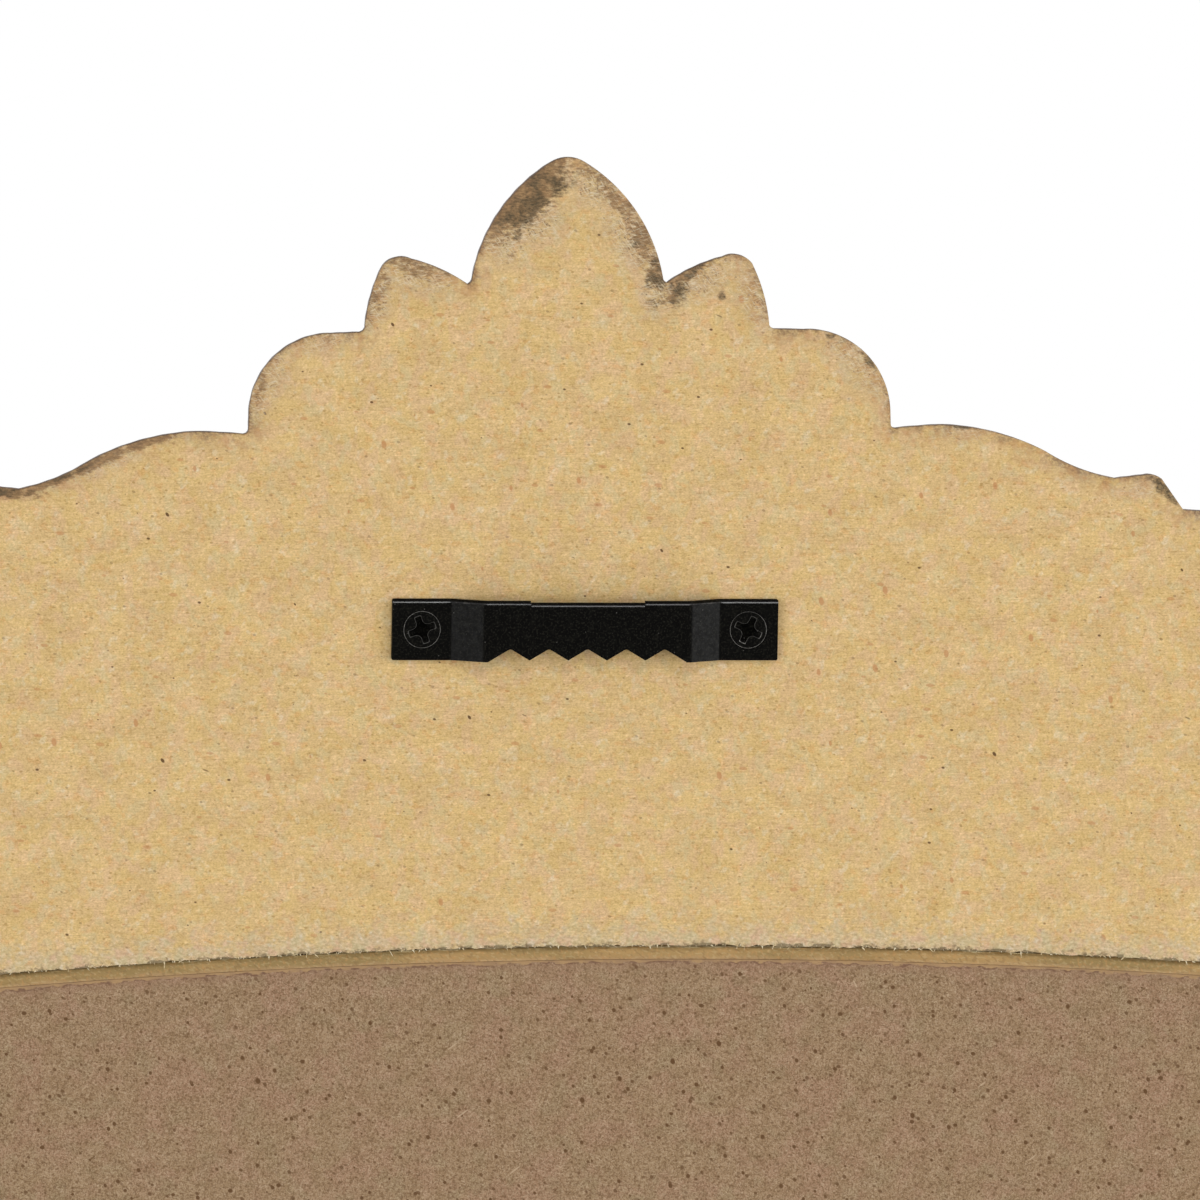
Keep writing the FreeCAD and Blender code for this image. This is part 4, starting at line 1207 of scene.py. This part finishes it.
def make_ring(name, node, plan, ring, offsets, depths, sharp=35.0, flat=False):
    """A piece of places at offsets from a path towards the middle and at depths under the back.

    It is a closed tube or, where it is flat, two faces and the edge between them.
    """
    path, normals = ring
    places = path[:, None] + normals[:, None] * offsets[:, None]
    depths = np.broadcast_to(depths, places.shape[:2])
    points = np.stack([places[..., 0] + plan.centre_x, plan.back_y - depths, places[..., 1]], -1)
    loop = len(offsets)
    faces = tube_faces(len(path), loop, closed=True)
    if flat:
        faces = [face for face in faces if {face[0] % loop, face[1] % loop} != {0, loop - 1}]
        count = len(path) * loop
        faces.append(list(range(loop - 1, count, loop))[::-1])
        faces.append(list(range(0, count, loop)))
    return make_piece(name, points.reshape(-1, 3), faces, [node], sharp)


def make_back_panel(plan):
    """The panel: loops round its edge, a little rounded and never quite straight, and flat between."""
    sizes = plan.sizes
    low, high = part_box("back_panel")
    ring = ring_path(plan, sizes.band_width + sizes.panel_gap, fine=0.8 * MM, coarse=4 * MM)
    deep, top = plan.back_y - low.y, plan.back_y - high.y
    offsets = np.array([0.0, 0.0, 0.10, 0.30, 0.60, 1.2, 2.6]) * MM
    depths = np.array([deep, top + 0.22 * MM, top + 0.06 * MM, top, top, top, top])
    piece = make_ring("back_panel_plate", "back_panel", plan, ring, offsets, depths, flat=True)
    add_attribute(piece, "edge", np.tile(offsets, len(ring[0])))
    return piece


def make_glue(plan):
    """The glue: a lumpy bead in the gap, and its film under the panel, carried round the rebate."""
    sizes = plan.sizes
    ring = ring_path(plan, sizes.band_width, fine=0.8 * MM, coarse=3 * MM)
    count = len(ring[0])
    deep = plan.back_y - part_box("panel_glue")[0].y
    film = plan.back_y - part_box("back_panel")[0].y
    gap = sizes.panel_gap
    film_short = 0.8 * MM
    bearing = gap + sizes.panel_bearing - film_short
    top_u = np.array([0.0, 0.07, 0.14, 0.20, 0.28, 0.42, 0.60, 0.80, 0.95, 1.0])
    top_d = np.array([1.9, 1.65, 1.4, 1.3, 1.25, 1.2, 1.1, 0.88, 0.66, 0.60]) * MM
    offsets = np.concatenate([[0.0], top_u * gap, [gap, bearing, bearing]])
    depths = np.concatenate([[deep], top_d, [film, film, deep]])
    run = np.arange(count)
    random = np.random.default_rng(SEED)
    lumps = np.zeros((count, len(offsets)))
    for pitch, size in ((9, 0.10), (4, 0.05), (1.6, 0.03)):
        knots = random.uniform(-1, 1, (int(count / pitch) + 2, len(top_u)))
        at = run / pitch
        base = at.astype(int)
        share = smooth(at - base)[:, None]
        wave = knots[base] * (1 - share) + knots[base + 1] * share
        lumps[:, 1:1 + len(top_u)] += size * MM * wave
    lumps *= (smooth(run / 12) * smooth((count - 1 - run) / 12))[:, None]
    piece = make_ring("glue_bead", "panel_glue", plan, ring, offsets, depths + lumps, sharp=60.0)
    add_attribute(piece, "across", np.tile(offsets / gap, count))
    return piece


# Half the width that the fibres are closest on, and the share of the path's places that carry one
# there and elsewhere
FIBRES_HALF = 0.116
FIBRE_SHARES = (0.55, 0.4)


def make_fibres(plan):
    """Torn fibres along the rebate's edge: bent three-sided spikes, closest where the photograph looks."""
    sizes = plan.sizes
    path, normals = ring_path(plan, sizes.band_width, fine=0.25 * MM, coarse=1.0 * MM)
    random = np.random.default_rng(SEED)
    near = (np.abs(path[:, 0]) < FIBRES_HALF) & (path[:, 1] > plan.shoulder_z)
    chosen = np.nonzero(random.random(len(path)) < np.where(near, *FIBRE_SHARES))[0]
    count = len(chosen)
    normal = unit(normals[chosen])
    along = np.stack([-normal[:, 1], normal[:, 0]], 1)
    base = path[chosen] + along * random.uniform(-0.4, 0.4, (count, 1)) * MM
    base -= normal * random.uniform(0.05, 0.30, (count, 1)) * MM
    depth = random.uniform(0.0, 0.45, count) ** 1.5 * MM
    lean = random.normal(0, 1.2, (count, 1))
    heading = normal + along * lean
    out = random.uniform(-0.35, 0.30, count)
    heading = unit(np.stack([heading[:, 0], out, heading[:, 1]], 1))
    reach = random.gamma(3.0, 0.12, count)[:, None] * MM
    width = random.uniform(0.05, 0.16, count)[:, None] * MM
    bend = random.normal(0, 0.25, (count, 3)) * reach
    side = unit(np.cross(heading, [0.0, 1.0, 0.0]))
    other = np.cross(heading, side)
    start = np.stack([base[:, 0] + plan.centre_x, plan.back_y - 0.02 * MM - depth, base[:, 1]], 1)
    rings = []
    for share, thick in ((0.0, 1.0), (0.4, 0.85), (0.75, 0.55)):
        centre = start + heading * reach * share + bend * share ** 2
        for turn in (0, 2 * math.pi / 3, 4 * math.pi / 3):
            rings.append(centre + width * thick * (side * math.cos(turn) + other * math.sin(turn)))
    rings.append(start + heading * reach + bend)
    points = np.stack(rings, 1).reshape(-1, 3)
    points[:, 1] = np.minimum(points[:, 1], plan.back_y + 0.15 * MM)
    first = np.arange(count)[:, None] * 10
    shape = [(0, 1, 4, 3), (1, 2, 5, 4), (2, 0, 3, 5), (3, 4, 7, 6), (4, 5, 8, 7), (5, 3, 6, 8)]
    ends = [(6, 7, 9), (7, 8, 9), (8, 6, 9), (2, 1, 0)]
    faces = []
    for corners in shape + ends:
        faces += (first + np.array(corners)).tolist()
    return make_piece("rebate_fibres", points, faces)


def give(piece, material):
    """Put one material on a piece or a CAD node."""
    piece.data.materials.clear()
    piece.data.materials.append(material)


# The rolled upper edge of the hanger, in millimetres: distances below its top, and how far the
# face has sunk there
ROLLED_EDGE = ((0.64, 0.0), (0.60, 0.010), (0.45, 0.068), (0.38, 0.105), (0.16, 0.27), (0.0, 0.48))
# Distances below the top, in millimetres, of the rolled band given the burnished finish: where the highlight
# line falls, partly painted
BURNISHED_HIGHLIGHT_BAND = (0.37, 0.61)


def merged_copy(node, name, materials):
    """A copy of a CAD node that stands for it, with its mesh opened for editing as welded, flat faces."""
    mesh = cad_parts[node].data.copy()
    mesh.name = name
    mesh.materials.clear()
    for material in materials:
        mesh.materials.append(material)
    piece = add_piece(name, mesh, [node])
    work = bmesh.new()
    work.from_mesh(mesh)
    bmesh.ops.remove_doubles(work, verts=work.verts, dist=1e-7)
    bmesh.ops.dissolve_limit(work, angle_limit=math.radians(1), verts=work.verts, edges=work.edges)
    return piece, work


def finish_copy(piece, work):
    """Put the edited mesh back and shade its bends smooth and its flats flat."""
    work.to_mesh(piece.data)
    work.free()
    shade_smooth(piece.data, 38)
    shading = piece.modifiers.new("Flats kept flat", "WEIGHTED_NORMAL")
    shading.keep_sharp = True


def make_hanger_bar(materials):
    """The hanger, its wall side rolled over along the top as a sheared strip's is.

    Level cuts are made below the top, and each point of the face then sinks along its normal by
    the table's depth for its distance below the top, which steps down over the relief.
    """
    sizes = bpy.context.scene.mirror_sizes
    piece, work = merged_copy("sawtooth_hanger", "hanger_bar", materials)
    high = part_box("sawtooth_hanger")[1]
    along = Vector((math.cos(sizes.hanger_tilt), 0, math.sin(sizes.hanger_tilt)))
    up = Vector((-along.z, 0, along.x))
    cuts = [(high - up * (below * MM + step), up)
            for below, _ in ROLLED_EDGE[:-1] for step in (0, sizes.relief_drop)]
    cuts += [(along * side * (sizes.relief_half + gap * MM), along)
             for side in (-1, 1) for gap in (-0.1, 0.1)]
    for place, normal in cuts:
        parts = work.verts[:] + work.edges[:] + work.faces[:]
        bmesh.ops.bisect_plane(work, geom=parts, dist=1e-8, plane_co=place, plane_no=normal)

    def below_top(place):
        drop = sizes.relief_drop if abs(place.dot(along)) < sizes.relief_half - 0.05 * MM else 0
        return (high - place).dot(up) - drop

    below, sunk = np.array(ROLLED_EDGE[::-1]).T * MM
    moves = []
    for vert in work.verts:
        facing = [face.normal for face in vert.link_faces if face.normal.y > 0.5]
        if facing:
            normal = sum(facing, Vector()).normalized()
            moves.append((vert, normal * -float(np.interp(below_top(vert.co), below, sunk))))
    # The band's faces take the burnished finish, which paints pale patches along the highlight line
    for face in work.faces:
        middle = below_top(face.calc_center_median())
        if face.normal.y > 0.5 and BURNISHED_HIGHLIGHT_BAND[0] * MM < middle < BURNISHED_HIGHLIGHT_BAND[1] * MM:
            face.material_index = 1
    for vert, move in moves:
        vert.co += move
    finish_copy(piece, work)


def make_screw(side, materials):
    """A screw, with a narrow rounding round its head and a narrower one round its recess."""
    node = "hanger_screw_" + side
    piece, work = merged_copy(node, "screw_" + side, materials)
    weights = work.edges.layers.float.new("bevel_weight_edge")
    face_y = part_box(node)[1].y
    x, _, z = middle_of(node)
    for edge in work.edges:
        middle = (edge.verts[0].co + edge.verts[1].co) / 2
        if edge.calc_face_angle(0) > math.radians(32) and face_y - middle.y < 0.2 * MM:
            reach = math.hypot(middle.x - x, middle.z - z)
            edge[weights] = 1.0 if reach > RECESS_REACH else 0.4
    bevel = piece.modifiers.new("Rounded edges", "BEVEL")
    bevel.width = 0.14 * MM
    bevel.segments = 3
    bevel.limit_method = "WEIGHT"
    # The rounded faces take the rim finish: painted highlights
    bevel.material = 1
    bevel.use_clamp_overlap = False
    finish_copy(piece, work)


class MIRROR_OT_members(bpy.types.Operator):
    """Make the head rail with its crest, the stiles and the bottom rail"""

    bl_idname = "mirror.members"
    bl_label = "Frame members"

    def execute(self, context):
        plan = mirror_plan()
        material = fibreboard_material()
        for piece in (make_head_rail(plan), *make_stiles_and_bottom(plan)):
            give(piece, material)
        return {"FINISHED"}


class MIRROR_OT_panel(bpy.types.Operator):
    """Finish the back panel and the glue round it"""

    bl_idname = "mirror.panel"
    bl_label = "Panel and glue"

    def execute(self, context):
        plan = mirror_plan()
        give(make_back_panel(plan), hardboard_material())
        give(make_glue(plan), glue_material())
        give(make_fibres(plan), fibre_material())
        return {"FINISHED"}


class MIRROR_OT_inside(bpy.types.Operator):
    """Finish the glass, its tape and the dowels"""

    bl_idname = "mirror.inside"
    bl_label = "Glass, tape and dowels"

    def execute(self, context):
        give(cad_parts["mirror_glass"], mirror_material())
        give(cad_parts["glass_tape"], foam_material())
        beech = beech_material()
        for name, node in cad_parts.items():
            if name.endswith("_dowels"):
                give(node, beech)
        return {"FINISHED"}


class MIRROR_OT_hanger(bpy.types.Operator):
    """Finish the hanger and its screws"""

    bl_idname = "mirror.hanger"
    bl_label = "Hanger and screws"

    def execute(self, context):
        steel = black_steel_material()
        make_hanger_bar((steel, burnished_highlight_material()))
        finish = (steel, rim_highlight_material())
        for side in ("left", "right"):
            make_screw(side, finish)
        return {"FINISHED"}


class MIRROR_OT_stage(bpy.types.Operator):
    """Make the floor, the lights, the world and the camera"""

    bl_idname = "mirror.stage"
    bl_label = "Stage"

    def execute(self, context):
        plan = mirror_plan()
        make_floor(plan)
        make_world()
        make_lights()
        make_camera(plan)
        context.scene.view_settings.view_transform = "Standard"
        return {"FINISHED"}


def make_floor(plan):
    """A pale round floor that fades out, at the mirror's foot."""
    radius, rings, spokes = 2.6, 12, 64
    turn = np.linspace(0, 2 * math.pi, spokes, endpoint=False)
    reach = np.linspace(radius / rings, radius, rings)
    xs, ys = reach[:, None] * np.cos(turn), reach[:, None] * np.sin(turn)
    points = np.stack([xs, ys, np.full_like(xs, plan.bottom_z)], -1).reshape(-1, 3)
    centre = len(points)
    points = np.concatenate([points, [[0, 0, plan.bottom_z]]])
    faces = [[centre, k, (k + 1) % spokes] for k in range(spokes)]
    for low in range(0, (rings - 1) * spokes, spokes):
        faces += [[low + k, low + spokes + k, low + spokes + (k + 1) % spokes, low + (k + 1) % spokes]
                  for k in range(spokes)]
    mesh = bpy.data.meshes.new("floor")
    mesh.from_pydata(points.tolist(), [], faces)
    floor = add_object("floor", mesh)
    sheet = NodeSheet("floor_pale", 0.9, base="floor")
    away = Signal(sheet, sheet.vectors("LENGTH", sheet.place, output="Value"))
    blend = sheet.add("MixShader", Fac=away.step(1.6, 2.5))
    sheet.fill(blend.inputs[1], sheet.shader.outputs["BSDF"])
    sheet.fill(blend.inputs[2], sheet.add("BsdfTransparent").outputs["BSDF"])
    sheet.fill(sheet.tree.nodes["Material Output"].inputs["Surface"], blend.outputs["Shader"])
    mesh.materials.append(sheet.finish())


def make_world():
    """An even pale studio that shows white to the camera, to metal and to glass."""
    world = bpy.data.worlds.new("studio")
    bpy.context.scene.world = world
    world.use_nodes = True
    nodes = Nodes(world.node_tree)
    path = nodes.add("LightPath").outputs
    kinds = ("Is Camera Ray", "Is Transmission Ray", "Is Glossy Ray")
    seen, through, mirrored = (Signal(nodes, path[kind]) for kind in kinds)
    strength = nodes.add("MapRange", Value=seen.most(through).most(mirrored), To_Min=0.45, To_Max=1.0)
    background = nodes.tree.nodes["Background"]
    nodes.fill(background.inputs["Strength"], strength.outputs["Result"])
    nodes.fill(background.inputs["Color"], (1, 1, 1, 1))


def make_lights():
    """Broad soft lamps at both sides and above, behind the mirror and before it."""
    for name, spot, power, size in (
        ("lamp_back_left", (1.25, 1.0, -0.05), 9.0, 0.8),
        ("lamp_back_right", (-1.36, 0.66, -0.05), 11.2, 0.8),
        ("lamp_back_top", (-0.24, 1.4, 1.0), 6.0, 0.4),
        ("lamp_front_left", (-1.1, -1.6, 0.8), 16.0, 1.2),
        ("lamp_front_right", (1.3, -1.5, 0.5), 11.0, 1.2),
    ):
        data = bpy.data.lights.new(name, "AREA")
        data.shape = "DISK"
        data.size = size
        data.energy = power
        lamp = add_object(name, data)
        lamp.location = spot
        lamp.rotation_euler = (-Vector(spot)).to_track_quat("-Z", "Y").to_euler()


def make_camera(plan):
    """The photograph's camera: behind the mirror, a little above and to its +X side."""
    view = bpy.context.scene.mirror_view
    data = bpy.data.cameras.new("camera")
    camera = add_object("camera", data)
    level = math.cos(view.elevation)
    across, behind = math.sin(view.azimuth) * level, math.cos(view.azimuth) * level
    towards = Vector((across, behind, math.sin(view.elevation)))
    target = Vector((view.target_x, plan.back_y, view.target_z))
    camera.location = target + towards * view.distance
    aim = (-towards).to_track_quat("-Z", "Y").to_matrix() @ Matrix.Rotation(view.roll, 3, "Z")
    camera.rotation_euler = aim.to_euler()
    data.sensor_width = 36
    data.lens = data.sensor_width * view.distance / view.width
    data.clip_start = 0.05
    data.clip_end = 20
    bpy.context.scene.camera = camera


class MIRROR_PT_panel(bpy.types.Panel):
    """The mirror's pieces and its sizes"""

    bl_label = "Framed mirror"
    bl_idname = "MIRROR_PT_panel"
    bl_space_type = "VIEW_3D"
    bl_region_type = "UI"
    bl_category = "Mirror"

    def draw(self, context):
        for operator in OPERATORS:
            self.layout.operator(operator.bl_idname)
        for group in ("mirror_sizes", "mirror_colours", "mirror_view"):
            box = self.layout.box()
            settings = getattr(context.scene, group)
            for key in settings.__annotations__:
                box.prop(settings, key)


GROUPS = (("mirror_sizes", MirrorSizes), ("mirror_colours", MirrorColours), ("mirror_view", MirrorView))
OPERATORS = (MIRROR_OT_stage, MIRROR_OT_members, MIRROR_OT_panel, MIRROR_OT_inside, MIRROR_OT_hanger)


def register():
    for name, group in GROUPS:
        bpy.utils.register_class(group)
        setattr(bpy.types.Scene, name, PointerProperty(type=group))
    for operator in OPERATORS:
        bpy.utils.register_class(operator)
    bpy.utils.register_class(MIRROR_PT_panel)


def unregister():
    bpy.utils.unregister_class(MIRROR_PT_panel)
    for operator in reversed(OPERATORS):
        bpy.utils.unregister_class(operator)
    for name, group in reversed(GROUPS):
        delattr(bpy.types.Scene, name)
        bpy.utils.unregister_class(group)


def main():
    """Make every piece in order."""
    register()
    for operator in OPERATORS:
        category, name = operator.bl_idname.split(".")
        getattr(getattr(bpy.ops, category), name)()


if __name__ == "__main__":
    main()
